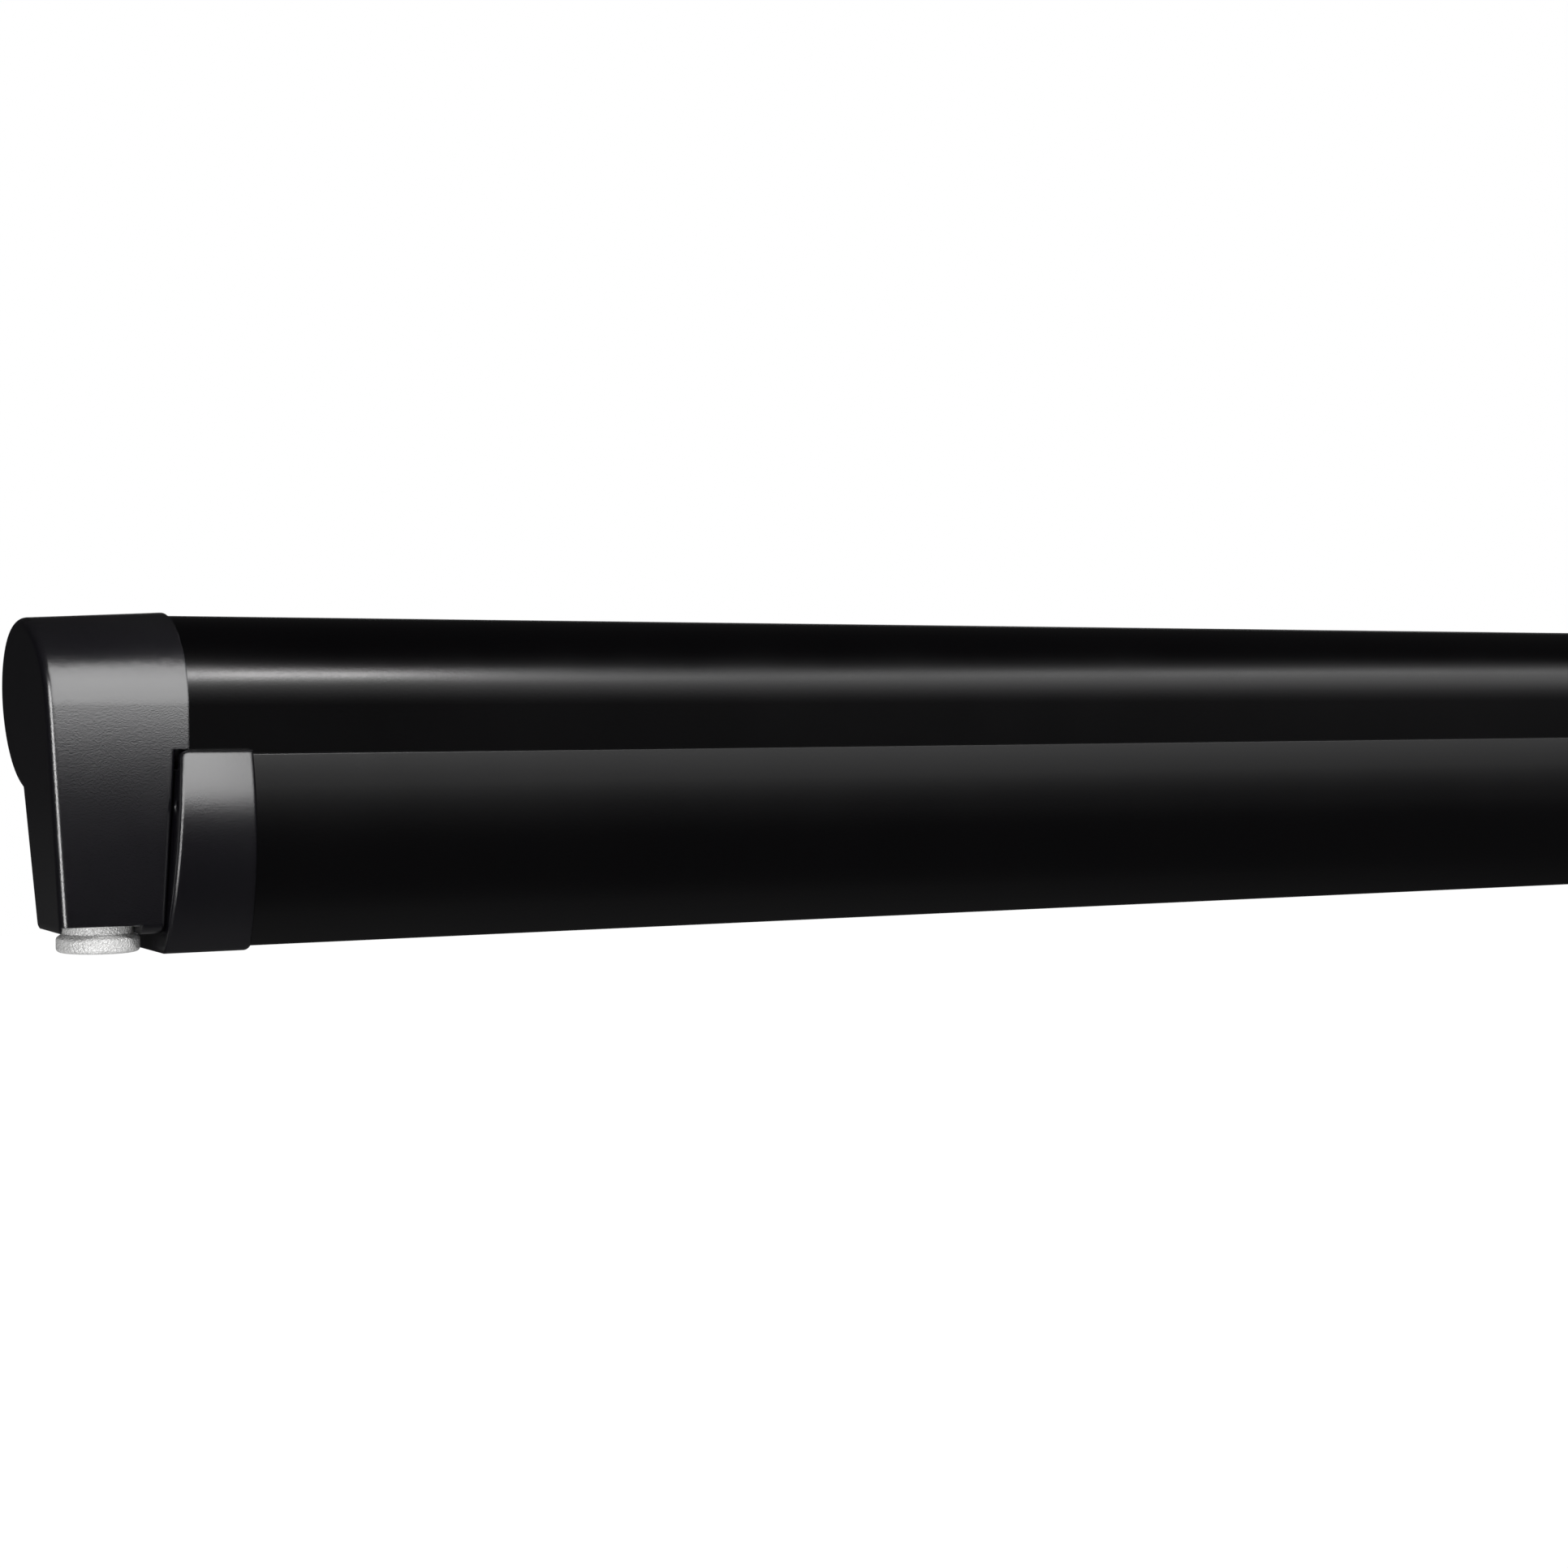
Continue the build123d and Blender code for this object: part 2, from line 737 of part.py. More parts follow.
def worm_thread():
    """One thread of the worm, a little sunk into the core."""
    with BuildPart() as thread:
        with BuildLine(crank_plane(-worm_half)):
            Helix(worm_starts * tooth_pitch, 2 * worm_half - tooth_pitch, worm_core_radius - shaft_fit)
        thread_start = Plane(
            origin=(crank_x + worm_core_radius - shaft_fit, roller_y + crank_line, roller_z - worm_half),
            x_dir=(1, 0, 0),
            z_dir=(0, 1, 0),
        )
        with BuildSketch(thread_start):
            with BuildLine():
                Polyline(
                    (0, -worm_thread_foot / 2),
                    (worm_tip_radius - worm_core_radius, -worm_thread_tip / 2),
                    (worm_tip_radius - worm_core_radius, worm_thread_tip / 2),
                    (0, worm_thread_foot / 2),
                    close=True,
                )
            make_face()
        sweep(is_frenet=True)
    return thread.part


def worm():
    """The worm shaft: an upper journal, the worm, and the long shaft down to the socket."""
    thread = worm_thread()
    crank_axis = Axis((crank_x, roller_y + crank_line, 0), (0, 0, 1))
    with BuildPart() as shaft:
        with BuildSketch(crank_plane(shaft_tip_top)):
            Circle(shaft_tip_radius)
        extrude(amount=-(shaft_tip_top - worm_half))
        with BuildSketch(crank_plane(worm_half)):
            Circle(worm_core_radius)
        extrude(amount=-(worm_half + housing_half - tooth_pitch))
        with BuildSketch(crank_plane(tooth_pitch - housing_half)):
            Circle(shaft_radius)
        extrude(amount=shaft_end + housing_half - tooth_pitch)
        for start in range(worm_starts):
            add(thread.rotate(crank_axis, 360 * start / worm_starts))
        chamfer(shaft.faces().sort_by(Axis.Z)[0].edges(), pin_chamfer)
    return shaft.part


save(worm(), "worm_shaft")


def cross_pin_plane():
    """Plane of the cross pin's outer end: local z runs along the awning."""
    return Plane(
        origin=(crank_x - socket_hub_radius, roller_y + crank_line, roller_z + cross_pin_height),
        x_dir=(0, 1, 0),
        z_dir=(1, 0, 0),
    )


socket_plane = Plane(
    origin=(crank_x, roller_y + crank_line, roller_z),
    x_dir=(1, 0, 0),
    z_dir=(0, -1, 0),
)
with BuildPart() as crank_socket:
    with BuildSketch(socket_plane):
        with BuildLine():
            Polyline(
                (shaft_radius + shaft_fit, socket_hub_top),
                (socket_hub_radius, socket_hub_top),
                (socket_hub_radius, socket_neck_top),
                (socket_neck_radius, socket_neck_top),
                (socket_neck_radius, socket_neck_bottom),
                (socket_rim_radius, socket_rim_top),
                (socket_rim_radius, socket_bottom),
                (socket_mouth, socket_bottom),
                (socket_bore, socket_bottom + socket_mouth_depth),
                (socket_bore, socket_step),
                (socket_inner_bore, socket_step),
                (socket_inner_bore, socket_floor),
                (shaft_radius + shaft_fit, socket_floor),
                close=True,
            )
        make_face()
    revolve(axis=Axis((crank_x, roller_y + crank_line, 0), (0, 0, 1)))
    rims = crank_socket.edges().filter_by(GeomType.CIRCLE).group_by(SortBy.RADIUS)[-1]
    fillet(rims, socket_rim_round)
    round_holes([cross_pin_plane()], 2 * socket_hub_radius, cross_pin_radius + shaft_fit)
save(crank_socket.part, "crank_socket")

with BuildPart() as crank_cross_pin:
    with BuildSketch(cross_pin_plane()):
        Circle(cross_pin_radius)
    extrude(amount=2 * socket_hub_radius)
save(crank_cross_pin.part, "crank_cross_pin")

# End caps: a round hood that flares inwards, over a box that carries the crank socket
cap_flare = 2.5
cap_joint_radius = 36.0
cap_back_joint = ((13.4, -33.4), (5.8, -86.0))
cap_back_flare = 4.4
cap_face_lean = 3.2
cap_corner_round = 4.0
cap_edge_round = 3.5
cap_recess_height = 3.6
cap_recess_span = (5.5, 35.0)
cap_hub_hole = 13.9
cap_side_round = 2.0
rail_cap_gap = 0.8
rail_cap_top_gap = 0.5
rail_cap_top = -16.8
rail_cap_side_top = 49.2
rail_cap_side_bottom = 43.6
cap_inner_side = 41.0


def meeting_point(radius, top, foot):
    """Where the line from the foot up to the top of the back meets the round hood."""
    dx = top[0] - foot[0]
    dy = top[1] - foot[1]
    a = dx * dx + dy * dy
    b = 2 * (foot[0] * dx + foot[1] * dy)
    c = foot[0] ** 2 + foot[1] ** 2 - radius ** 2
    share = (-b - sqrt(b * b - 4 * a * c)) / (2 * a)
    return foot[0] + share * dx, foot[1] + share * dy


def cap_section(x, inset):
    """The end cap's section at x: it flares from the outer end to the joint with the case."""
    share = (-case_end - x) / cap_width
    radius = cap_joint_radius - share * cap_flare - inset
    top = (cap_back_joint[0][0] - share * cap_back_flare - inset, cap_back_joint[0][1])
    foot = (cap_back_joint[1][0] - share * cap_back_flare - inset, cap_bottom + inset)
    kink = meeting_point(radius, top, foot)
    kink_angle = degrees(atan2(kink[1], kink[0]))
    with BuildSketch(section_plane(x)) as section:
        with BuildLine():
            Polyline(kink, foot, (-radius, foot[1]), (-radius, 0))
            ThreePointArc((-radius, 0), on_circle(radius, (90 + 180) / 2), (0, radius))
            ThreePointArc((0, radius), on_circle(radius, (90 + kink_angle) / 2), kink)
        make_face()
        corners = section.vertices().group_by(Axis.Y)[0]
        fillet(corners, cap_corner_round - inset)
    return section.sketch.faces()[0]


def side_wedge(top_x, bottom_x, top, bottom, width):
    """An upright wedge beside a slanted side: its sloping edge runs from the top to the bottom."""
    with BuildSketch(upright_plane(0)) as wedge:
        with BuildLine():
            Polyline(
                (top_x, top),
                (bottom_x, bottom),
                (bottom_x + width, bottom),
                (top_x + width, top),
                close=True,
            )
        make_face()
    return wedge.sketch.faces()[0]


def cap_cavity():
    """The room inside the left end cap: the whole section up to its inner side, then the hood alone."""
    end = -awning_length / 2
    inner_side = end + cap_inner_side
    with BuildPart() as cavity:
        loft([cap_section(inner_side, cap_wall), cap_section(end - cap_edge_round, cap_wall)], ruled=True)
        split(bisect_by=cap_face_plane().offset(cap_wall), keep=Keep.TOP)
        with BuildSketch(section_plane(inner_side)):
            Circle(cap_joint_radius - cap_wall)
            with Locations((-cap_joint_radius + cap_wall, 0)):
                Rectangle(cap_joint_radius, -rail_cap_top - cap_wall, align=(Align.MIN, Align.MAX))
        extrude(amount=cap_width)
    return cavity.part


def cap_face_plane():
    """The plane of the left end cap's outer face, which leans a little."""
    return Plane(
        origin=(-awning_length / 2, roller_y, roller_z),
        x_dir=(0, 1, 0),
        z_dir=(cos(radians(cap_face_lean)), 0, sin(radians(cap_face_lean))),
    )


def room_for_rail_cap():
    """What is cut off the left end cap so that the lead rail's cap can close beside it."""
    end = -awning_length / 2
    top = rail_cap_top + rail_cap_top_gap
    back_top = (cap_back_joint[0][0] - cap_wall, cap_back_joint[0][1])
    back_foot = (cap_back_joint[1][0] - cap_wall, cap_back_joint[1][1])
    wedge = side_wedge(
        end + rail_cap_side_top - rail_cap_gap,
        end + rail_cap_side_bottom - rail_cap_gap,
        top,
        cap_bottom - overrun,
        cap_width,
    )
    with BuildPart() as room:
        extrude(wedge, amount=2 * cap_joint_radius, both=True)
        with BuildSketch(section_plane(end)) as keep:
            with BuildLine():
                Polyline(
                    (-2 * cap_joint_radius, top),
                    (0, top),
                    back_top,
                    back_foot,
                    (back_foot[0], cap_bottom - overrun),
                    (-2 * cap_joint_radius, cap_bottom - overrun),
                    close=True,
                )
            make_face()
        extrude(keep.sketch, amount=2 * cap_width, mode=Mode.INTERSECT)
    return room.part


def end_cap(with_crank):
    """The left end cap."""
    end = -awning_length / 2
    cavity = cap_cavity()
    room = room_for_rail_cap()
    with BuildPart() as cap:
        loft([cap_section(-case_end, 0), cap_section(end - cap_edge_round, 0)], ruled=True)
        split(bisect_by=cap_face_plane(), keep=Keep.TOP)
        fillet(cap.faces().sort_by(Axis.X)[0].edges(), cap_edge_round)
        add(cavity, mode=Mode.SUBTRACT)
        add(room, mode=Mode.SUBTRACT)
        side_middle = (
            end + (rail_cap_side_top + rail_cap_side_bottom) / 2 - rail_cap_gap,
            roller_y - cap_joint_radius,
            roller_z + (rail_cap_top + cap_bottom) / 2,
        )
        fillet(cap.edges().sort_by_distance(side_middle)[0], cap_side_round)
        if with_crank:
            with BuildSketch(level_plane(cap_bottom)):
                with Locations((end + cap_recess_span[0], 0)):
                    Rectangle(
                        cap_recess_span[1] - cap_recess_span[0],
                        4 * cap_joint_radius,
                        align=(Align.MIN, Align.CENTER),
                    )
            extrude(amount=cap_recess_height, mode=Mode.SUBTRACT)
            with BuildSketch(crank_plane(cap_bottom)):
                Circle(cap_hub_hole)
            extrude(amount=cap_recess_height + cap_wall + overrun, mode=Mode.SUBTRACT)
        countersunk_screws(
            post_planes(cap_bottom),
            cap_screw_reach,
            cap_screw_radius + shaft_fit,
            cap_screw_head + shaft_fit,
            cap_screw_head_depth,
            Mode.SUBTRACT,
        )
    return cap.part


save(end_cap(True), "end_cap_left")
save(mirrored(end_cap(False)), "end_cap_right")

# Lead rail: a curved front, a web above two channels for the legs, a groove for the fabric's hem
rail_wall = 1.8
rail_edge_round = 0.8
rail_top = (-38.0, -18.0)
rail_middle = (-42.5, -46.0)
rail_foot = (-33.3, -92.0)
rail_centre_y, rail_centre_z, rail_front_radius = circle_through(rail_top, rail_middle, rail_foot)
web_top = -69.8
web_wall = 1.5
rail_back = 0.5
rail_back_wall = 1.6
divider_front = -17.2
divider_wall = 1.3
divider_foot = -89.0
hem_place = (-31.0, -29.5)
hem_groove_radius = 3.4
hem_groove_wall = 1.6
hem_slot_half = 1.2
hem_rib_wall = 2.4
screw_land_face = -38.7
screw_land_top = -41.6
screw_land_foot = -67.0
rail_port_radius = 2.4
rail_port_bore = 1.45
rail_port_places = ((-38.2, -38.0), (-1.9, -68.0))
rail_end_gap = 0.7
rail_half = case_end - rail_end_gap
bead_radius = 3.2

# Legs: the left one lies in the front channel, the right one in the back channel
leg_to_end = 94.0
leg_pivot_x = awning_length / 2 - leg_to_end
leg_line_front = -24.6
leg_line_back = -8.5
leg_height = -80.2
leg_pin_radius = 3.0
leg_tube_width = 12.0
leg_tube_height = 15.0
leg_tube_wall = 1.2
leg_tube_round = 1.4
leg_past_middle = 44.0
leg_upper_end = leg_pivot_x + leg_past_middle
leg_hinge_radius = 8.2
leg_hinge_width = 12.4
leg_hinge_block = 14.0
leg_hinge_plug = 30.0
leg_clamp_width = 14.0
leg_clamp_height = 17.0
leg_clamp_length = 26.0
leg_clamp_lip = 4.0
leg_lower_width = 9.0
leg_lower_height = 12.0
leg_lower_gap = 176.0
leg_lower_start = leg_hinge_block + leg_hinge_plug + leg_lower_gap
leg_foot_past_clamp = 16.0
leg_foot_pin = leg_upper_end + leg_foot_past_clamp
leg_foot_pin_radius = 2.0
foot_cheek = 1.4
foot_cheek_radius = 6.8
foot_block_start = 6.6
foot_block_length = 34.0
lever_ear_half = 6.4
lever_ear_wall = 1.6
lever_to_end = 3.0
lever_drop = 1.8
lever_barrel_radius = 1.5
lever_stub_radius = 0.9
lever_length = 32.0
lever_wall = 1.9
lever_round = 2.5

# Wrist brackets: a clevis for the forearm on a plate that is screwed to the rail's inner face
wrist_face = forearm_line - eye_radius - eye_gap - eye_gap
wrist_plate_outer = 20.0
wrist_plate_inner = 30.0
wrist_screw_places = (-15.0, 23.0)
wrist_screw_radius = 1.5
wrist_screw_head = 2.8
wrist_screw_head_depth = 1.3
wrist_screw_reach = 5.4

# Lead rail caps
rail_cap_skin = 1.25
rail_cap_foot = -93.6
rail_cap_outer_end = -awning_length / 2 + rail_cap_side_bottom
rail_cap_inner_end = 77.6
rail_cap_lip_back = -36.4
rail_cap_lip_drop = -24.0
rail_cap_groove_back = -25.0
rail_cap_groove_foot = -35.6
rail_cap_waist = -33.0
rail_cap_waist_top = -38.0
rail_cap_waist_foot = -54.0
rail_cap_shoulder = -30.0
rail_cap_back_top = -63.6
rail_cap_back = 1.6
rail_cap_toe = 7.0
rail_cap_toe_wall = 3.2
rail_cap_side_wall = 3.4
rail_cap_edge_round = 1.6
rail_cap_corner_round = 3.0
rail_screw_head = 2.6
rail_screw_head_height = 1.8
rail_screw_reach = 14.0
rail_screw_sink = 9.0


def rail_front_at(height):
    """Outer face of the lead rail at a height of the section."""
    return rail_centre_y - sqrt(rail_front_radius ** 2 - (height - rail_centre_z) ** 2)


def rail_inside_at(height):
    """Inner face of the lead rail's front at a height of the section."""
    return rail_front_at(height) + rail_wall


def leg_pin_plane(side, front):
    """Plane of a leg pin's front end, on the left (-1) or right (1): local z runs back to the wall."""
    return Plane(
        origin=(side * leg_pivot_x, roller_y + front, roller_z + leg_height),
        x_dir=(1, 0, 0),
        z_dir=(0, 1, 0),
    )


def wrist_screw_planes():
    """Planes of the left wrist bracket's screw heads: local z runs forwards into the rail."""
    y, z = arm_to_section(wrist_face, arm_level)
    return [
        Plane(
            origin=(shoulder_x + place, roller_y + y, roller_z + z),
            x_dir=(1, 0, 0),
            z_dir=(0, -pitch_cos, -pitch_sin),
        )
        for place in wrist_screw_places
    ]


def rail_screw_planes():
    """Planes of the left rail cap's screw heads: local z runs along the rail."""
    return [
        Plane(
            origin=(-rail_half - rail_cap_side_wall + rail_screw_head_height, roller_y + y, roller_z + z),
            x_dir=(0, 1, 0),
            z_dir=(1, 0, 0),
        )
        for y, z in rail_port_places
    ]


with BuildPart() as lead_rail_profile:
    with BuildSketch(section_plane(-rail_half)) as rail_section:
        with BuildLine():
            ThreePointArc(rail_top, rail_middle, rail_foot)
            Line(rail_foot, (rail_foot[0] + rail_wall, rail_foot[1]))
            ThreePointArc(
                (rail_foot[0] + rail_wall, rail_foot[1]),
                (rail_middle[0] + rail_wall, rail_middle[1]),
                (rail_top[0] + rail_wall, rail_top[1]),
            )
            Line((rail_top[0] + rail_wall, rail_top[1]), rail_top)
        make_face()
        for corner in (rail_top, rail_foot):
            fillet(rail_section.vertices().sort_by_distance((*corner, 0))[0], rail_edge_round)
        web_front = rail_front_at(web_top) + rail_wall / 2
        with Locations((web_front, web_top)):
            Rectangle(rail_back - web_front, web_wall, align=(Align.MIN, Align.MAX))
        with Locations((divider_front, web_top)):
            Rectangle(divider_wall, web_top - divider_foot, align=(Align.MIN, Align.MAX))
        with Locations((rail_back, web_top)):
            Rectangle(rail_back_wall, web_top - rail_foot[1], align=(Align.MAX, Align.MAX))
        land_front = rail_front_at(screw_land_foot) + rail_wall / 2
        with BuildLine():
            Polyline(
                (rail_front_at(screw_land_top) + rail_wall / 2, screw_land_top),
                (rail_front_at(rail_middle[1]) + rail_wall / 2, rail_middle[1]),
                (land_front, screw_land_foot),
                (screw_land_face, screw_land_foot),
                (screw_land_face, screw_land_top),
                close=True,
            )
        make_face()
        with Locations(hem_place):
            Circle(hem_groove_radius + hem_groove_wall)
        rib_front = rail_front_at(hem_place[1]) + rail_wall / 2
        with Locations((rib_front, hem_place[1])):
            Rectangle(hem_place[0] - rib_front, hem_rib_wall, align=(Align.MIN, Align.CENTER))
        for place in rail_port_places:
            with Locations(place):
                Circle(rail_port_radius)
                Circle(rail_port_bore, mode=Mode.SUBTRACT)
        with Locations(hem_place):
            Circle(hem_groove_radius, mode=Mode.SUBTRACT)
        with Locations(Location((hem_place[0], hem_place[1], 0), (0, 0, pitch_angle))):
            Rectangle(
                2 * (hem_groove_radius + hem_groove_wall),
                2 * hem_slot_half,
                align=(Align.MIN, Align.CENTER),
                mode=Mode.SUBTRACT,
            )
    extrude(amount=2 * rail_half)
    round_holes(on_both_ends(wrist_screw_planes()), wrist_screw_reach, wrist_screw_radius + shaft_fit)
    round_holes(
        [leg_pin_plane(-1, divider_front - leg_tube_wall)],
        divider_wall + 2 * leg_tube_wall,
        leg_pin_radius + shaft_fit,
    )
    round_holes(
        [leg_pin_plane(1, divider_front - leg_tube_wall)],
        rail_back - divider_front + 2 * leg_tube_wall,
        leg_pin_radius + shaft_fit,
    )
save(lead_rail_profile.part, "lead_rail_profile")


def rail_cap():
    """The left cap of the lead rail: a closed side, a skin round the rail, a toe under the case."""
    end = -awning_length / 2
    with BuildPart() as cap:
        with BuildSketch(section_plane(rail_cap_outer_end)):
            with BuildLine():
                Polyline(
                    (rail_top[0] - rail_cap_skin, rail_cap_top),
                    (rail_cap_lip_back, rail_cap_top),
                    (rail_cap_lip_back, rail_cap_lip_drop),
                    (rail_cap_groove_back, rail_cap_lip_drop),
                    (rail_cap_groove_back, rail_cap_groove_foot),
                    (rail_cap_waist, rail_cap_waist_top),
                    (rail_cap_waist, rail_cap_waist_foot),
                    (rail_cap_shoulder, rail_cap_back_top),
                    (rail_cap_back, rail_cap_back_top),
                    (rail_cap_back, rail_cap_foot + rail_cap_toe_wall),
                    (rail_cap_toe, rail_cap_foot + rail_cap_toe_wall),
                    (rail_cap_toe, rail_cap_foot),
                    (rail_foot[0] - rail_cap_skin, rail_cap_foot),
                )
                ThreePointArc(
                    (rail_foot[0] - rail_cap_skin, rail_cap_foot),
                    (rail_middle[0] - rail_cap_skin, rail_middle[1]),
                    (rail_top[0] - rail_cap_skin, rail_cap_top),
                )
            make_face()
        extrude(amount=end + rail_cap_inner_end - rail_cap_outer_end)
        wedge = side_wedge(
            end + rail_cap_side_top,
            end + rail_cap_side_bottom,
            rail_cap_top,
            rail_cap_foot,
            -cap_width,
        )
        extrude(wedge, amount=2 * cap_joint_radius, both=True, mode=Mode.SUBTRACT)
        top_corner = cap.edges().filter_by(Axis.Y).group_by(Axis.Z)[-1].sort_by(Axis.X)[0]
        foot_corners = cap.edges().filter_by(Axis.Y).group_by(Axis.Z)[0].sort_by(Axis.X)
        fillet([top_corner, foot_corners[-1]], rail_cap_corner_round)
        front = cap.faces().sort_by(Axis.Y)[0]
        inner_edge = front.edges().sort_by(Axis.X)[-1]
        outer_edges = front.edges() - ShapeList([inner_edge])
        fillet(outer_edges, rail_cap_edge_round)
        with BuildSketch(section_plane(-rail_half - tube_fit)):
            with BuildLine():
                ThreePointArc(rail_top, rail_middle, (rail_foot[0], rail_foot[1] - tube_fit))
                Polyline(
                    (rail_foot[0], rail_foot[1] - tube_fit),
                    (rail_back, rail_foot[1] - tube_fit),
                    (rail_back, rail_cap_back_top + rail_cap_skin),
                    (rail_cap_groove_back + rail_cap_skin, rail_cap_back_top + rail_cap_skin),
                    (rail_cap_groove_back + rail_cap_skin, rail_top[1]),
                    rail_top,
                )
            make_face()
        extrude(amount=cap_width, mode=Mode.SUBTRACT)
        round_holes(
            [plane.offset(-rail_screw_sink) for plane in rail_screw_planes()],
            rail_screw_sink,
            rail_screw_head + shaft_fit,
        )
        round_holes(rail_screw_planes(), rail_cap_side_wall, rail_port_bore)
    return cap.part


save(rail_cap(), "lead_rail_cap_left")
save(mirrored(rail_cap()), "lead_rail_cap_right")

with BuildPart() as lead_rail_screws:
    pan_screws(
        on_both_ends(rail_screw_planes()),
        rail_screw_reach,
        rail_port_bore - shaft_fit,
        rail_screw_head,
        rail_screw_head_height,
    )
    countersunk_screws(
        on_both_ends(wrist_screw_planes()),
        wrist_screw_reach,
        wrist_screw_radius,
        wrist_screw_head,
        wrist_screw_head_depth,
    )
save(lead_rail_screws.part, "lead_rail_screws")

with BuildPart() as wrist_bracket:
    top_back = arm_to_section(wrist_face, arm_top)
    bottom_back = arm_to_section(wrist_face, arm_bottom)
    with BuildSketch(section_plane(shoulder_x - wrist_plate_outer)):
        with BuildLine():
            Polyline(
                top_back,
                (screw_land_face, top_back[1]),
                (screw_land_face, bottom_back[1]),
                bottom_back,
                close=True,
            )
        make_face()
    extrude(amount=wrist_plate_outer + wrist_plate_inner)
    clevis_tongues(shoulder_x, forearm_line, forearm_line - wrist_face + eye_gap, False)
    pin_hole(shoulder_x, forearm_line)
    countersunk_screws(
        wrist_screw_planes(),
        wrist_screw_reach,
        wrist_screw_radius + shaft_fit,
        wrist_screw_head + shaft_fit,
        wrist_screw_head_depth,
        Mode.SUBTRACT,
    )
save(wrist_bracket.part, "wrist_bracket_left")
save(mirrored(wrist_bracket.part), "wrist_bracket_right")

with BuildPart() as lead_rail_pins:
    add(arm_pin(shoulder_x, forearm_line))
    mirror(about=Plane.YZ)
    pin_front = rail_inside_at(leg_height - leg_pin_radius)
    with BuildSketch(leg_pin_plane(-1, pin_front)):
        Circle(leg_pin_radius)
    extrude(amount=divider_front + divider_wall - pin_front)
    with BuildSketch(leg_pin_plane(1, divider_front)):
        Circle(leg_pin_radius)
    extrude(amount=rail_back - divider_front)
save(lead_rail_pins.part, "lead_rail_pins")

with BuildPart() as hem_bead:
    with BuildSketch(section_plane(-fabric_width / 2)):
        with Locations(hem_place):
            Circle(bead_radius)
    extrude(amount=fabric_width)
save(hem_bead.part, "hem_bead")

# The fabric between the roll and the hem runs along the roll's tangent
span_wall = 0.5
hem_distance = hypot(hem_place[0], hem_place[1])
hem_angle = degrees(atan2(hem_place[1], hem_place[0]))
tangent_angle = hem_angle + degrees(acos(roll_radius / hem_distance))
tangent_y, tangent_z = on_circle(roll_radius + loose_fit, tangent_angle)
tangent_length = sqrt(hem_distance ** 2 - roll_radius ** 2)
span_direction = tangent_angle - 90
span_plane = Plane(
    origin=(-fabric_width / 2, roller_y + tangent_y, roller_z + tangent_z),
    x_dir=(0, cos(radians(span_direction)), sin(radians(span_direction))),
    z_dir=(1, 0, 0),
)
with BuildPart() as fabric_span:
    with BuildSketch(span_plane):
        Rectangle(
            tangent_length - bead_radius - loose_fit,
            span_wall,
            align=(Align.MIN, Align.MIN),
        )
    extrude(amount=fabric_width)
save(fabric_span.part, "fabric_span")

# Arms: rectangular tubes with cast ends, drawn folded
arm_wall = 2.0
arm_round = 2.5
arm_plug_depth = 40.0
knuckle_start = 11.0
knuckle_block = 5.0
elbow_block_start = 10.6
fork_block_start = 11.0
fork_block = 7.0
spring_radius = 5.0
spring_wire = 1.6
spring_length = 480.0
cable_radius = 1.5


def arm_tube(start, end, line):
    """A rounded rectangular tube along an arm's line."""
    with BuildPart() as tube:
        with BuildSketch(arm_section(start, line)):
            RectangleRounded(arm_depth, arm_height, arm_round)
            RectangleRounded(
                arm_depth - 2 * arm_wall,
                arm_height - 2 * arm_wall,
                arm_round - arm_wall / 2,
                mode=Mode.SUBTRACT,
            )
        extrude(amount=end - start)
    return tube.part


def arm_end_block(start, block, line):
    """A full block between an eye and its tube, with a plug that fits the tube: block runs from start."""
    way = 1 if block > 0 else -1
    with BuildSketch(arm_section(start, line)) as full:
        RectangleRounded(arm_depth, arm_height, arm_round)
    extrude(full.sketch, amount=block)
    with BuildSketch(arm_section(start + block, line)) as plug:
        RectangleRounded(
            arm_depth - 2 * arm_wall - tube_fit,
            arm_height - 2 * arm_wall - tube_fit,
            arm_round - arm_wall / 2,
        )
    extrude(plug.sketch, amount=way * arm_plug_depth)


def arm_eye(x, line):
    """An eye round a pin, as high as fits between two tongues."""
    with BuildSketch(arm_plane(arm_level - eye_height / 2)) as eye:
        with Locations((x, line)):
            Circle(eye_radius)
    extrude(eye.sketch, amount=eye_height)


def eye_neck(x_from, x_to, line_from, line_to):
    """The low neck between an eye and its block."""
    with BuildSketch(arm_plane(arm_level - eye_height / 2)) as neck:
        with Locations(((x_from + x_to) / 2, (line_from + line_to) / 2)):
            Rectangle(abs(x_to - x_from), abs(line_to - line_from))
    extrude(neck.sketch, amount=eye_height)


def knuckle(line):
    """The cast outer end of an arm, with its eye on the arm's own line."""
    with BuildPart() as casting:
        arm_eye(shoulder_x, line)
        eye_neck(
            shoulder_x,
            shoulder_x + knuckle_start,
            line - eye_radius,
            line + eye_radius,
        )
        arm_end_block(shoulder_x + knuckle_start, knuckle_block, line)
        pin_hole(shoulder_x, line)
    return casting.part


tube_start = shoulder_x + knuckle_start + knuckle_block
upper_tube_end = elbow_x - fork_block_start - fork_block
forearm_tube_end = elbow_x - elbow_block_start - knuckle_block

upper_arm_tube = arm_tube(tube_start, upper_tube_end, upper_arm_line)
save(upper_arm_tube, "upper_arm_tube_left")
save(mirrored(upper_arm_tube), "upper_arm_tube_right")
forearm_tube = arm_tube(tube_start, forearm_tube_end, forearm_line)
save(forearm_tube, "forearm_tube_left")
save(mirrored(forearm_tube), "forearm_tube_right")
save(knuckle(upper_arm_line), "shoulder_knuckle_left")
save(mirrored(knuckle(upper_arm_line)), "shoulder_knuckle_right")
save(knuckle(forearm_line), "wrist_knuckle_left")
save(mirrored(knuckle(forearm_line)), "wrist_knuckle_right")

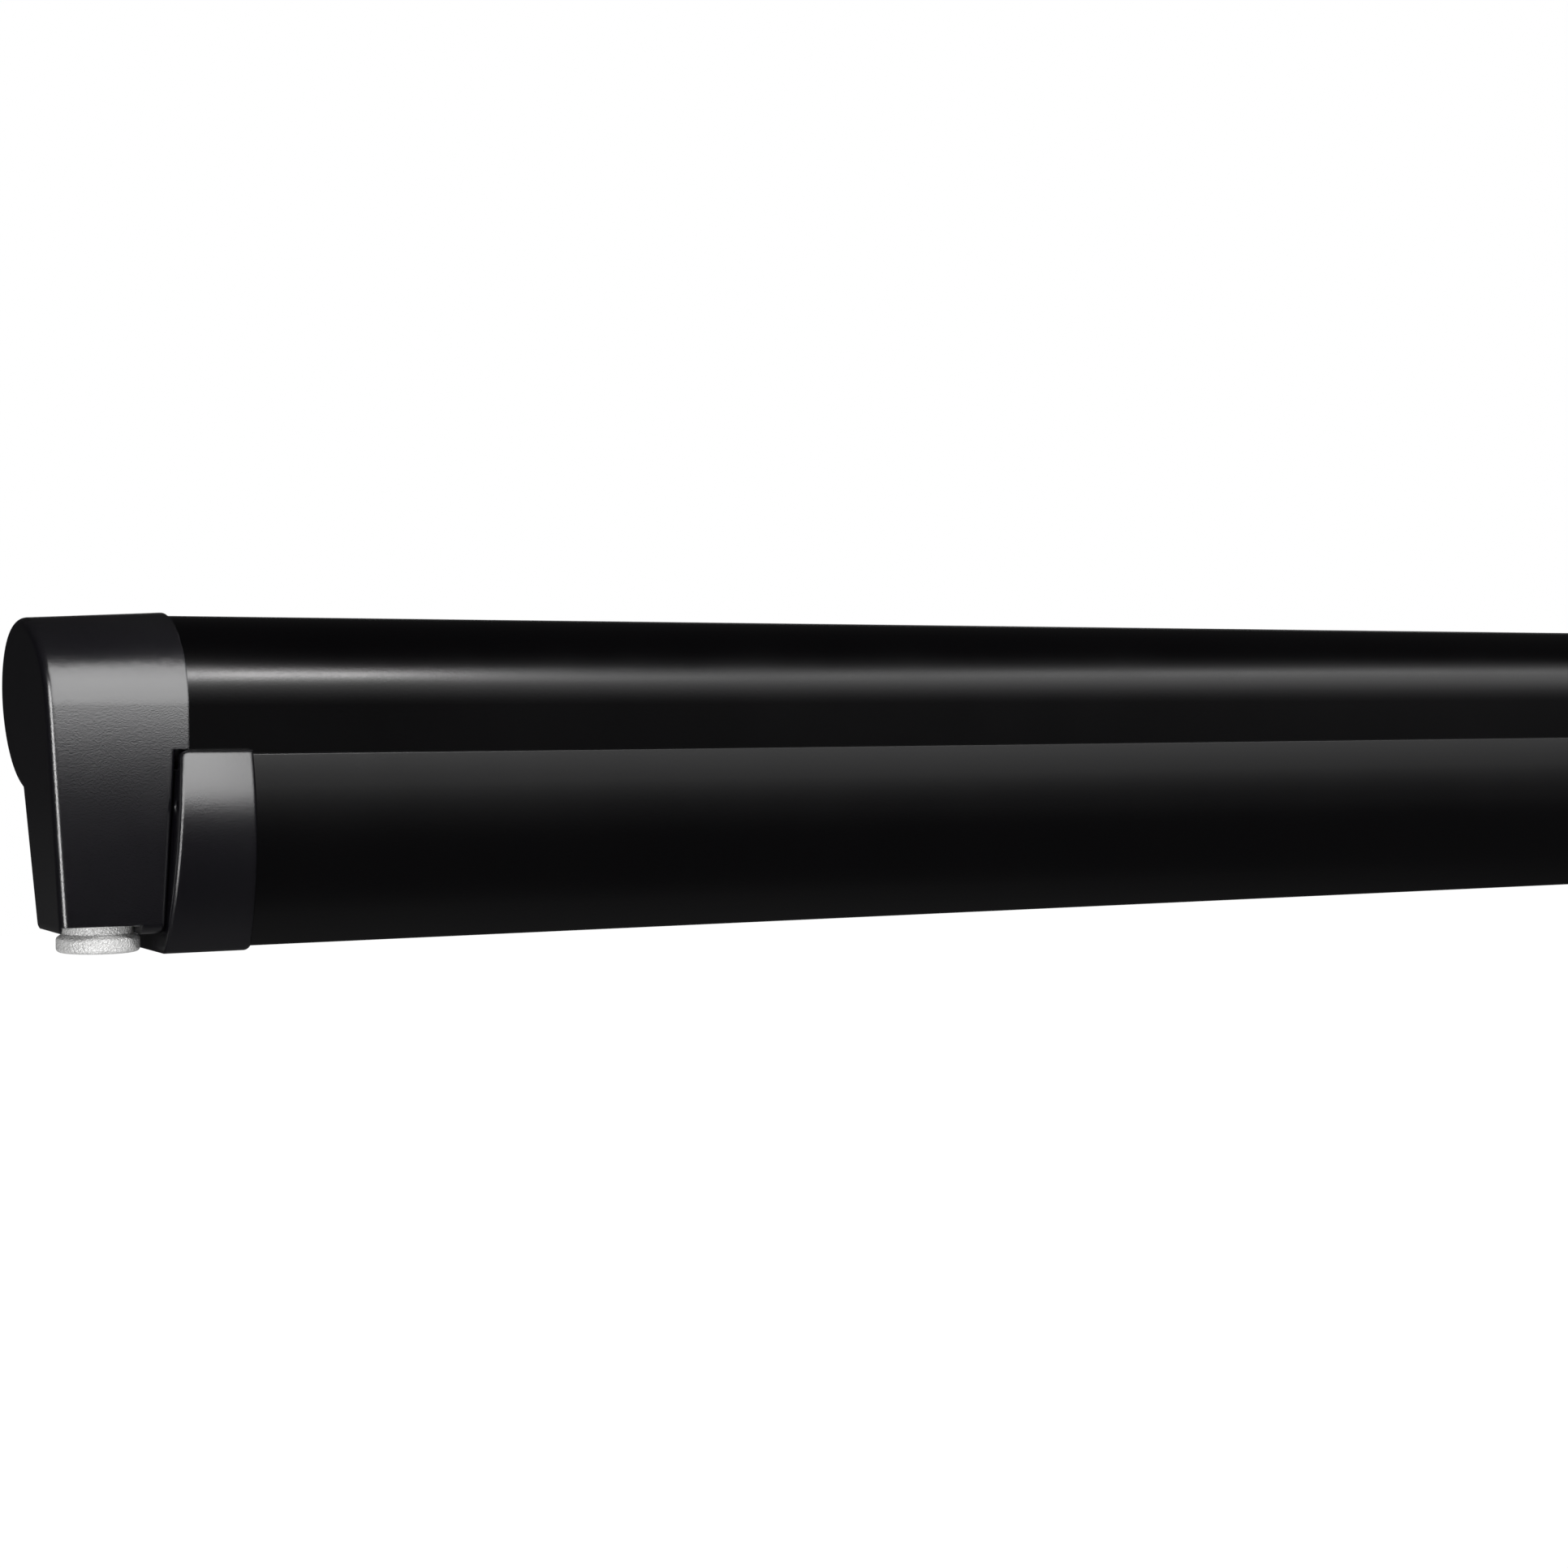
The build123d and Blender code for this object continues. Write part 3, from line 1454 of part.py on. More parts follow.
with BuildPart() as elbow_fork:
    for level in (arm_bottom, arm_top - tongue_wall):
        with BuildSketch(arm_plane(level)):
            with Locations((elbow_x, elbow_line)):
                Circle(tongue_radius)
            with Locations((elbow_x, elbow_line)):
                Rectangle(
                    fork_block_start + fork_block / 2,
                    upper_arm_line + arm_depth / 2 - elbow_line,
                    align=(Align.MAX, Align.MIN),
                )
        extrude(amount=tongue_wall)
    arm_end_block(elbow_x - fork_block_start, -fork_block, upper_arm_line)
    pin_hole(elbow_x, elbow_line)
save(elbow_fork.part, "elbow_fork_left")
save(mirrored(elbow_fork.part), "elbow_fork_right")

with BuildPart() as elbow_lug:
    arm_eye(elbow_x, elbow_line)
    eye_neck(
        elbow_x,
        elbow_x - elbow_block_start,
        elbow_line,
        forearm_line - arm_depth / 2,
    )
    arm_end_block(elbow_x - elbow_block_start, -knuckle_block, forearm_line)
    pin_hole(elbow_x, elbow_line)
save(elbow_lug.part, "elbow_lug_left")
save(mirrored(elbow_lug.part), "elbow_lug_right")

elbow_pin = arm_pin(elbow_x, elbow_line)
save(elbow_pin, "elbow_pin_left")
save(mirrored(elbow_pin), "elbow_pin_right")

with BuildPart() as arm_spring:
    spring_start = tube_start + arm_plug_depth
    with BuildSketch(arm_section(spring_start, upper_arm_line)):
        Circle(spring_radius)
        Circle(spring_radius - spring_wire, mode=Mode.SUBTRACT)
    extrude(amount=spring_length)
    with BuildSketch(arm_section(spring_start + spring_length, upper_arm_line)):
        Circle(cable_radius)
    extrude(amount=upper_tube_end - arm_plug_depth - spring_start - spring_length)
save(arm_spring.part, "arm_spring_left")
save(mirrored(arm_spring.part), "arm_spring_right")


# Legs: drawn on the left, folded into the rail, a runs from the pivot to the foot
def leg_section(a, line):
    """The cross section of the left leg at a distance from its pivot."""
    return Plane(
        origin=(a - leg_pivot_x, roller_y + line, roller_z + leg_height),
        x_dir=(0, 1, 0),
        z_dir=(1, 0, 0),
    )


def leg_side(line):
    """Upright plane at a line of the left leg, its origin on the pivot: local x runs to the foot."""
    return Plane(
        origin=(-leg_pivot_x, roller_y + line, roller_z + leg_height),
        x_dir=(1, 0, 0),
        z_dir=(0, -1, 0),
    )


def leg_hinge(line):
    """The eye on the rail's pin with a plug in the upper tube."""
    with BuildPart() as hinge:
        with BuildSketch(leg_side(line)):
            Circle(leg_hinge_radius)
            Rectangle(leg_hinge_block, leg_tube_height, align=(Align.MIN, Align.CENTER))
            Circle(leg_pin_radius + shaft_fit, mode=Mode.SUBTRACT)
        extrude(amount=leg_hinge_width / 2, both=True)
        with BuildSketch(leg_section(leg_hinge_block, line)):
            Rectangle(
                leg_tube_width - 2 * leg_tube_wall - tube_fit,
                leg_tube_height - 2 * leg_tube_wall - tube_fit,
            )
        extrude(amount=leg_hinge_plug)
    return hinge.part


def leg_upper_tube(line):
    """The upper tube."""
    with BuildPart() as tube:
        with BuildSketch(leg_section(leg_hinge_block, line)):
            RectangleRounded(leg_tube_width, leg_tube_height, leg_tube_round)
            Rectangle(
                leg_tube_width - 2 * leg_tube_wall,
                leg_tube_height - 2 * leg_tube_wall,
                mode=Mode.SUBTRACT,
            )
        extrude(amount=leg_upper_end - leg_hinge_block)
    return tube.part


lever_place = leg_upper_end + leg_clamp_lip - lever_to_end
lever_height = -leg_clamp_height / 2 - lever_drop


def leg_clamp(line):
    """The collar on the upper tube's end with two ears for its lever."""
    with BuildPart() as clamp:
        with BuildSketch(leg_section(leg_upper_end - leg_clamp_length, line)):
            RectangleRounded(leg_clamp_width, leg_clamp_height, leg_tube_round)
        extrude(amount=leg_clamp_length + leg_clamp_lip)
        with BuildSketch(leg_section(leg_upper_end - leg_clamp_length, line)):
            RectangleRounded(leg_tube_width + shaft_fit, leg_tube_height + shaft_fit, leg_tube_round)
        extrude(amount=leg_clamp_length, mode=Mode.SUBTRACT)
        with BuildSketch(leg_section(leg_upper_end, line)):
            Rectangle(
                leg_tube_width - 2 * leg_tube_wall,
                leg_tube_height - 2 * leg_tube_wall,
            )
        extrude(amount=leg_clamp_lip, mode=Mode.SUBTRACT)
        for side in (-1, 1):
            with BuildSketch(leg_side(line + side * (lever_ear_half - lever_ear_wall / 2))):
                with Locations((lever_place, lever_height)):
                    Circle(lever_barrel_radius)
                    Rectangle(
                        2 * lever_barrel_radius,
                        lever_drop + leg_tube_wall,
                        align=(Align.CENTER, Align.MIN),
                    )
                    Circle(lever_stub_radius + shaft_fit, mode=Mode.SUBTRACT)
            extrude(amount=lever_ear_wall / 2, both=True)
    return clamp.part


def leg_lever(line):
    """The clamp's lever: a barrel with two stubs and a plate that lies under the upper tube."""
    between_ears = lever_ear_half - lever_ear_wall - loose_fit
    with BuildPart() as lever:
        with BuildSketch(leg_side(line)) as barrel:
            with Locations((lever_place, lever_height)):
                Circle(lever_barrel_radius)
                Rectangle(lever_to_end, lever_wall, align=(Align.MAX, Align.CENTER))
        extrude(barrel.sketch, amount=between_ears, both=True)
        with BuildSketch(leg_side(line)) as stub:
            with Locations((lever_place, lever_height)):
                Circle(lever_stub_radius)
        extrude(stub.sketch, amount=lever_ear_half, both=True)
        with BuildSketch(leg_side(line)) as plate:
            with Locations((lever_place - lever_to_end, lever_height)):
                Rectangle(lever_length - lever_to_end, lever_wall, align=(Align.MAX, Align.CENTER))
        extrude(plate.sketch, amount=lever_ear_half, both=True)
        free_end = lever.edges().filter_by(Axis.Z).group_by(Axis.X)[0]
        fillet(free_end, lever_round)
    return lever.part


def leg_lower_tube(line):
    """The lower tube that slides in the upper one, with a round end at the foot's rivet."""
    with BuildPart() as tube:
        with BuildSketch(leg_section(leg_lower_start, line)):
            Rectangle(leg_lower_width, leg_lower_height)
            Rectangle(
                leg_lower_width - 2 * leg_tube_wall,
                leg_lower_height - 2 * leg_tube_wall,
                mode=Mode.SUBTRACT,
            )
        extrude(amount=leg_foot_pin + leg_lower_height / 2 - leg_lower_start)
        with BuildSketch(leg_side(line)):
            with Locations((leg_foot_pin, 0)):
                Rectangle(leg_lower_height, leg_lower_height, align=(Align.MIN, Align.CENTER))
                Circle(leg_lower_height / 2, mode=Mode.SUBTRACT)
        extrude(amount=leg_lower_width, both=True, mode=Mode.SUBTRACT)
        with BuildSketch(leg_side(line)):
            with Locations((leg_foot_pin, 0)):
                Circle(leg_foot_pin_radius + shaft_fit)
        extrude(amount=leg_lower_width, both=True, mode=Mode.SUBTRACT)
    return tube.part


def leg_foot(line):
    """The foot: a block with two cheeks round the lower tube, and the rivet through them."""
    cheek_line = leg_lower_width / 2 + loose_fit
    with BuildPart() as foot:
        with BuildSketch(leg_side(line)) as block:
            with Locations((leg_foot_pin + foot_block_start, 0)):
                Rectangle(foot_block_length, leg_tube_height, align=(Align.MIN, Align.CENTER))
        extrude(block.sketch, amount=cheek_line + foot_cheek, both=True)
        for side in (-1, 1):
            with BuildSketch(leg_side(line + side * (cheek_line + foot_cheek / 2))) as cheek:
                with Locations((leg_foot_pin, 0)):
                    Circle(foot_cheek_radius)
                    Rectangle(
                        foot_block_start,
                        2 * foot_cheek_radius,
                        align=(Align.MIN, Align.CENTER),
                    )
                    Circle(leg_foot_pin_radius, mode=Mode.SUBTRACT)
            extrude(cheek.sketch, amount=foot_cheek / 2, both=True)
        with BuildSketch(leg_side(line)) as rivet:
            with Locations((leg_foot_pin, 0)):
                Circle(leg_foot_pin_radius)
        extrude(rivet.sketch, amount=cheek_line + foot_cheek, both=True)
    return foot.part


leg_pieces = {
    "leg_hinge": leg_hinge,
    "leg_upper_tube": leg_upper_tube,
    "leg_clamp": leg_clamp,
    "leg_lever": leg_lever,
    "leg_lower_tube": leg_lower_tube,
    "leg_foot": leg_foot,
}
for name, piece in leg_pieces.items():
    save(piece(leg_line_front), f"{name}_left")
    save(mirrored(piece(leg_line_back)), f"{name}_right")
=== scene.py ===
import json
from math import cos, pi, radians, sin, sqrt

import bmesh
import bpy
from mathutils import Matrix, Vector


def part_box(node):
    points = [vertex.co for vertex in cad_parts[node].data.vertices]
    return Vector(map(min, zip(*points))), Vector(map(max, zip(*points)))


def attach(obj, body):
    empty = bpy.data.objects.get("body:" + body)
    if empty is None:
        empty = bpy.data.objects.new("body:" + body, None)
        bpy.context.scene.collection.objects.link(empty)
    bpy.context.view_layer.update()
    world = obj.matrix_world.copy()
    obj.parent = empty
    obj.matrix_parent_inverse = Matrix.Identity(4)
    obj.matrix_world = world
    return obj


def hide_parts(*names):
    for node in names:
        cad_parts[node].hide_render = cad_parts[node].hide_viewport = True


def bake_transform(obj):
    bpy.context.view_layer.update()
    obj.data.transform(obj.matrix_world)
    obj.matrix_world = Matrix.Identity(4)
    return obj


# Camera at the photograph's angle
PHOTO_FOCAL = 65.4
PHOTO_YAW = 29.35
PHOTO_PITCH = 1.98
PHOTO_PLACE = (-1.5781, -1.1295, 0.0297)

camera_data = bpy.data.cameras.new("photo_camera")
camera_data.lens = PHOTO_FOCAL
camera_data.sensor_width = 36.0
camera_data.clip_start = 0.02
camera_data.clip_end = 200.0
camera = bpy.data.objects.new("photo_camera", camera_data)
camera.location = PHOTO_PLACE
camera.rotation_euler = (radians(90 - PHOTO_PITCH), 0, radians(-PHOTO_YAW))
bpy.context.scene.collection.objects.link(camera)
bpy.context.scene.camera = camera

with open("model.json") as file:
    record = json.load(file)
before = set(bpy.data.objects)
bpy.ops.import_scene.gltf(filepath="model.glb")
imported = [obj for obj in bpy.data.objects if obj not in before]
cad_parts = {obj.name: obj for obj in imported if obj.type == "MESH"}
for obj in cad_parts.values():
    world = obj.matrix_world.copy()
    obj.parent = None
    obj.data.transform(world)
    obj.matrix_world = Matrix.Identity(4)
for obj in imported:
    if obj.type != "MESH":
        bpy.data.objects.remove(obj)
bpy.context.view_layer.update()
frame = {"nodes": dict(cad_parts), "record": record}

bpy.context.scene.view_settings.view_transform = "Standard"


# Node tree helpers
def new_node(tree, kind, settings=None, values=None):
    """A node with its settings and the values of its unlinked inputs."""
    node = tree.nodes.new(kind)
    for name, value in (settings or {}).items():
        setattr(node, name, value)
    for socket, value in (values or {}).items():
        node.inputs[socket].default_value = value
    return node


def math_node(tree, operation, first, second=None):
    """A maths node on two links or numbers, and its result."""
    node = new_node(tree, "ShaderNodeMath", {"operation": operation})
    for index, value in enumerate((first, second)):
        if value is None:
            continue
        if isinstance(value, (int, float)):
            node.inputs[index].default_value = value
        else:
            tree.links.new(value, node.inputs[index])
    return node.outputs[0]


def ramp_node(tree, value, low, high, to_low=0.0, to_high=1.0, smooth=False):
    """A value taken from low..high to to_low..to_high and held there, and its result."""
    node = new_node(
        tree,
        "ShaderNodeMapRange",
        {"clamp": True, "interpolation_type": "SMOOTHSTEP" if smooth else "LINEAR"},
        {"From Min": low, "From Max": high, "To Min": to_low, "To Max": to_high},
    )
    tree.links.new(value, node.inputs["Value"])
    return node.outputs[0]


def new_group(name, inputs, outputs, kind="ShaderNodeTree"):
    """A node group with its inputs (name, type, default) and outputs (name, type)."""
    group = bpy.data.node_groups.new(name, kind)
    for label, kind, default in inputs:
        socket = group.interface.new_socket(name=label, in_out="INPUT", socket_type=kind)
        if default is not None:
            socket.default_value = default
    for label, kind in outputs:
        group.interface.new_socket(name=label, in_out="OUTPUT", socket_type=kind)
    return group, group.nodes.new("NodeGroupInput"), group.nodes.new("NodeGroupOutput")


FLOAT = "NodeSocketFloat"
VECTOR = "NodeSocketVector"


def grain_group():
    """Fine moulded or sprayed grain: a height for the bump and a speckle."""
    group, given, out = new_group(
        "fine_grain",
        [("Vector", VECTOR, None), ("Size", FLOAT, 0.0005), ("Stretch", VECTOR, (1, 1, 1))],
        [("Height", FLOAT), ("Speckle", FLOAT)],
    )
    stretched = new_node(group, "ShaderNodeVectorMath", {"operation": "MULTIPLY"})
    group.links.new(given.outputs["Vector"], stretched.inputs[0])
    group.links.new(given.outputs["Stretch"], stretched.inputs[1])
    scale = math_node(group, "DIVIDE", 1.0, given.outputs["Size"])
    coarse = new_node(group, "ShaderNodeTexNoise", values={"Detail": 2.0, "Roughness": 0.6})
    group.links.new(stretched.outputs[0], coarse.inputs["Vector"])
    group.links.new(scale, coarse.inputs["Scale"])
    fine = new_node(group, "ShaderNodeTexVoronoi", {"feature": "F1"})
    group.links.new(stretched.outputs[0], fine.inputs["Vector"])
    group.links.new(math_node(group, "MULTIPLY", scale, 1.7), fine.inputs["Scale"])
    cells = math_node(group, "MULTIPLY", fine.outputs["Distance"], 0.5)
    group.links.new(math_node(group, "ADD", coarse.outputs[0], cells), out.inputs["Height"])
    group.links.new(coarse.outputs[0], out.inputs["Speckle"])
    return group


def marks_group():
    """Slow changes over the surface, from handling and dust: a value about 0.5."""
    group, given, out = new_group(
        "handling_marks",
        [("Vector", VECTOR, None), ("Size", FLOAT, 0.06)],
        [("Value", FLOAT), ("Dust", FLOAT)],
    )
    scale = math_node(group, "DIVIDE", 1.0, given.outputs["Size"])
    broad = new_node(group, "ShaderNodeTexNoise", values={"Detail": 4.0, "Roughness": 0.55})
    group.links.new(given.outputs["Vector"], broad.inputs["Vector"])
    group.links.new(scale, broad.inputs["Scale"])
    group.links.new(broad.outputs[0], out.inputs["Value"])
    geometry = new_node(group, "ShaderNodeNewGeometry")
    split = new_node(group, "ShaderNodeSeparateXYZ")
    group.links.new(geometry.outputs["Normal"], split.inputs[0])
    upward = ramp_node(group, split.outputs["Z"], 0.3, 1.0)
    dust = math_node(group, "MULTIPLY", upward, broad.outputs[0])
    group.links.new(dust, out.inputs["Dust"])
    return group


def edge_group():
    """Edges that are softly rounded and worn: a mask, and the normal of the rounding."""
    group, given, out = new_group(
        "edge_wear",
        [("Vector", VECTOR, None), ("Radius", FLOAT, 0.0006), ("Patch Size", FLOAT, 0.004)],
        [("Mask", FLOAT), ("Normal", VECTOR)],
    )
    rounding = new_node(group, "ShaderNodeBevel", {"samples": 4})
    group.links.new(given.outputs["Radius"], rounding.inputs["Radius"])
    geometry = new_node(group, "ShaderNodeNewGeometry")
    turn = new_node(group, "ShaderNodeVectorMath", {"operation": "DOT_PRODUCT"})
    group.links.new(rounding.outputs[0], turn.inputs[0])
    group.links.new(geometry.outputs["Normal"], turn.inputs[1])
    sharp = ramp_node(group, turn.outputs["Value"], 0.99, 0.86)
    patches = new_node(group, "ShaderNodeTexNoise", values={"Detail": 3.0})
    group.links.new(given.outputs["Vector"], patches.inputs["Vector"])
    patch_scale = math_node(group, "DIVIDE", 1.0, given.outputs["Patch Size"])
    group.links.new(patch_scale, patches.inputs["Scale"])
    broken = ramp_node(group, patches.outputs[0], 0.42, 0.66, to_low=0.1)
    mask = math_node(group, "MULTIPLY", sharp, broken)
    group.links.new(mask, out.inputs["Mask"])
    group.links.new(rounding.outputs[0], out.inputs["Normal"])
    return group


def weave_group():
    """Plain weave of threads along the width and the length of the cloth."""
    group, given, out = new_group(
        "plain_weave",
        [("Vector", VECTOR, None), ("Pitch", FLOAT, 0.0012)],
        [("Height", FLOAT), ("Gap", FLOAT)],
    )
    split = new_node(group, "ShaderNodeSeparateXYZ")
    group.links.new(given.outputs["Vector"], split.inputs[0])
    turns = math_node(group, "DIVIDE", 2 * pi, given.outputs["Pitch"])
    across = math_node(group, "SINE", math_node(group, "MULTIPLY", split.outputs["X"], turns))
    along_place = math_node(group, "ADD", split.outputs["Y"], split.outputs["Z"])
    along = math_node(group, "SINE", math_node(group, "MULTIPLY", along_place, turns))
    crossing = math_node(group, "MULTIPLY", across, along)
    threads = math_node(
        group, "ADD", math_node(group, "ABSOLUTE", across), math_node(group, "ABSOLUTE", along)
    )
    height = math_node(group, "ADD", crossing, threads)
    group.links.new(height, out.inputs["Height"])
    group.links.new(ramp_node(group, threads, 0.6, 0.0), out.inputs["Gap"])
    return group


FINE_GRAIN = grain_group()
HANDLING_MARKS = marks_group()
EDGE_WEAR = edge_group()
PLAIN_WEAVE = weave_group()


def place_group(tree, group, vector, values):
    """An effect group in a material, fed with Object coordinates and its own values."""
    node = new_node(tree, "ShaderNodeGroup", {"node_tree": group}, values)
    tree.links.new(vector, node.inputs["Vector"])
    return node


def blend_colours(tree, mask, first, second):
    """A mix of two colours or links by a mask."""
    mix = new_node(tree, "ShaderNodeMix", {"data_type": "RGBA", "clamp_factor": True})
    tree.links.new(mask, mix.inputs[0])
    for index, value in ((6, first), (7, second)):
        if isinstance(value, tuple):
            mix.inputs[index].default_value = (*value, 1.0)
        else:
            tree.links.new(value, mix.inputs[index])
    return mix.outputs[2]


SPECKLE_GAIN = 1.3
SPECKLE_LIFT = 0.0004
WEAVE_SHADE = 0.55
WEAVE_GRAIN = 0.3
DUST_COLOUR = (0.35, 0.34, 0.32)


def surface(
    name,
    colour,
    roughness,
    spread=0.06,
    metallic=0.0,
    specular=0.5,
    grain_size=0.0006,
    grain_height=0.00002,
    grain_stretch=(1, 1, 1),
    worn=None,
    wear=0.5,
    edge=0.0005,
    dust=0.1,
    marks=0.07,
    sheen=0.0,
    weave=None,
):
    """A procedural finish: colour, grain, handling marks, dust and worn edges."""
    material = bpy.data.materials.new(name)
    material.use_nodes = True
    tree = material.node_tree
    tree.nodes.clear()
    output = new_node(tree, "ShaderNodeOutputMaterial")
    shader = new_node(
        tree,
        "ShaderNodeBsdfPrincipled",
        values={
            "Metallic": metallic,
            "Specular IOR Level": specular,
            "Sheen Weight": sheen,
            "Sheen Roughness": 0.5,
        },
    )
    tree.links.new(shader.outputs[0], output.inputs[0])
    place = new_node(tree, "ShaderNodeTexCoord").outputs["Object"]
    grain = place_group(tree, FINE_GRAIN, place, {"Size": grain_size, "Stretch": grain_stretch})
    handling = place_group(tree, HANDLING_MARKS, place, {"Size": marks})
    edges = place_group(tree, EDGE_WEAR, place, {"Radius": edge})
    lighter = tuple(min(1.0, channel * SPECKLE_GAIN + SPECKLE_LIFT) for channel in colour)
    base = blend_colours(tree, grain.outputs["Speckle"], colour, lighter)
    height = grain.outputs["Height"]
    if weave:
        threads = place_group(tree, PLAIN_WEAVE, place, {"Pitch": weave})
        darker = tuple(channel * WEAVE_SHADE for channel in colour)
        base = blend_colours(tree, threads.outputs["Gap"], base, darker)
        fibres = math_node(tree, "MULTIPLY", height, WEAVE_GRAIN)
        height = math_node(tree, "ADD", threads.outputs["Height"], fibres)
    dust_mask = math_node(tree, "MULTIPLY", handling.outputs["Dust"], dust)
    base = blend_colours(tree, dust_mask, base, DUST_COLOUR)
    if worn:
        wear_mask = math_node(tree, "MULTIPLY", edges.outputs["Mask"], wear)
        base = blend_colours(tree, wear_mask, base, worn)
    tree.links.new(base, shader.inputs["Base Color"])
    handled = handling.outputs["Value"]
    rough = ramp_node(tree, handled, 0.3, 0.7, roughness - spread, roughness + spread)
    uneven = math_node(tree, "MULTIPLY", grain.outputs["Speckle"], spread)
    tree.links.new(math_node(tree, "ADD", rough, uneven), shader.inputs["Roughness"])
    bump = new_node(tree, "ShaderNodeBump", values={"Strength": 1.0, "Distance": grain_height})
    tree.links.new(height, bump.inputs["Height"])
    tree.links.new(edges.outputs["Normal"], bump.inputs["Normal"])
    tree.links.new(bump.outputs[0], shader.inputs["Normal"])
    return material


BLACK_PAINT = (0.0013, 0.0011, 0.0016)
BLACK_PLASTIC = (0.0010, 0.0009, 0.0014)

FINISHES = {
    "powder_black": surface(
        "satin_black_profile",
        BLACK_PAINT,
        0.21,
        spread=0.03,
        specular=0.35,
        grain_size=0.001,
        grain_height=0.000012,
        worn=(0.05, 0.05, 0.055),
        wear=0.35,
        edge=0.0004,
        dust=0.003,
    ),
    "bracket_black": surface(
        "satin_black_bracket",
        (0.012, 0.012, 0.013),
        0.45,
        specular=0.4,
        grain_size=0.0009,
        worn=(0.3, 0.3, 0.3),
    ),
    "cap_black": surface(
        "grained_black_plastic",
        BLACK_PLASTIC,
        0.22,
        spread=0.03,
        specular=0.42,
        grain_size=0.0008,
        grain_height=0.00003,
        worn=(0.03, 0.03, 0.034),
        edge=0.0009,
        dust=0.01,
    ),
    "seal_black": surface(
        "black_rubber_seal",
        (0.012, 0.012, 0.012),
        0.7,
        specular=0.3,
        grain_size=0.0012,
        grain_height=0.00003,
        worn=(0.05, 0.05, 0.05),
    ),
    "cast_alloy": surface(
        "cast_aluminium",
        (0.50, 0.50, 0.51),
        0.45,
        spread=0.1,
        metallic=0.9,
        grain_size=0.0016,
        grain_height=0.00008,
        worn=(0.75, 0.75, 0.75),
    ),
    "zinc_steel": surface(
        "zinc_plated_steel",
        (0.52, 0.53, 0.55),
        0.32,
        spread=0.1,
        metallic=1.0,
        grain_size=0.0015,
        grain_height=0.00001,
        worn=(0.7, 0.7, 0.7),
    ),
    "bright_steel": surface(
        "ground_steel",
        (0.6, 0.6, 0.61),
        0.22,
        metallic=1.0,
        grain_size=0.0008,
        grain_height=0.000006,
        worn=(0.8, 0.8, 0.8),
    ),
    "cast_zinc": surface(
        "cast_zinc_socket",
        (0.86, 0.855, 0.84),
        0.4,
        spread=0.1,
        metallic=0.3,
        grain_size=0.0013,
        grain_height=0.0006,
        worn=(0.85, 0.84, 0.82),
        wear=0.8,
        marks=0.012,
    ),
    "gear_brass": surface(
        "machined_brass",
        (0.62, 0.43, 0.16),
        0.3,
        metallic=1.0,
        grain_size=0.0008,
        grain_height=0.00001,
        worn=(0.8, 0.62, 0.3),
    ),
    "inner_plastic": surface(
        "grey_moulded_plastic",
        (0.07, 0.07, 0.07),
        0.5,
        grain_size=0.0008,
        grain_height=0.00002,
        worn=(0.16, 0.16, 0.16),
    ),
    "awning_fabric": surface(
        "grey_awning_cloth",
        (0.33, 0.34, 0.355),
        0.75,
        specular=0.25,
        grain_size=0.0009,
        grain_height=0.00007,
        sheen=0.15,
        weave=0.0013,
        marks=0.3,
    ),
    "hem_cord": surface(
        "hem_cloth",
        (0.37, 0.37, 0.38),
        0.8,
        grain_size=0.0008,
        grain_height=0.00004,
        sheen=0.15,
        weave=0.001,
    ),
    "arm_black": surface(
        "satin_black_arm",
        (0.011, 0.011, 0.012),
        0.4,
        spread=0.05,
        specular=0.4,
        grain_size=0.0007,
        grain_height=0.00001,
        grain_stretch=(0.15, 1, 1),
        worn=(0.35, 0.35, 0.35),
        wear=0.4,
    ),
    "leg_alloy": surface(
        "anodised_leg_tube",
        (0.56, 0.56, 0.57),
        0.33,
        metallic=0.95,
        grain_size=0.0006,
        grain_height=0.000008,
        grain_stretch=(0.08, 1, 1),
        worn=(0.75, 0.75, 0.75),
    ),
    "leg_plastic": surface(
        "black_leg_plastic",
        (0.013, 0.013, 0.014),
        0.45,
        grain_size=0.0006,
        grain_height=0.00002,
        worn=(0.07, 0.07, 0.07),
    ),
}

record = frame["record"]
slot_of_node = {part["node"]: part["material_slot"] for part in record["subparts"]}
body_of_node = {
    node: body for body, nodes in record["behaviour"]["bodies"].items() for node in nodes
}
for node_name, node_object in frame["nodes"].items():
    node_object.data.materials.clear()
    node_object.data.materials.append(FINISHES[slot_of_node[node_name]])

# Dressed copies of the CAD pieces: joined triangles, smooth curves, crisp edges
SHARP_ANGLE = radians(28)
JOIN_DISTANCE = 0.000002
SLIVER_LENGTH = 0.000001


def made_final(thing):
    """The object's evaluated shape as its own plain mesh, with no modifiers left."""
    bpy.context.view_layer.update()
    graph = bpy.context.evaluated_depsgraph_get()
    mesh = bpy.data.meshes.new_from_object(thing.evaluated_get(graph))
    thing.modifiers.clear()
    thing.data = mesh
    return thing


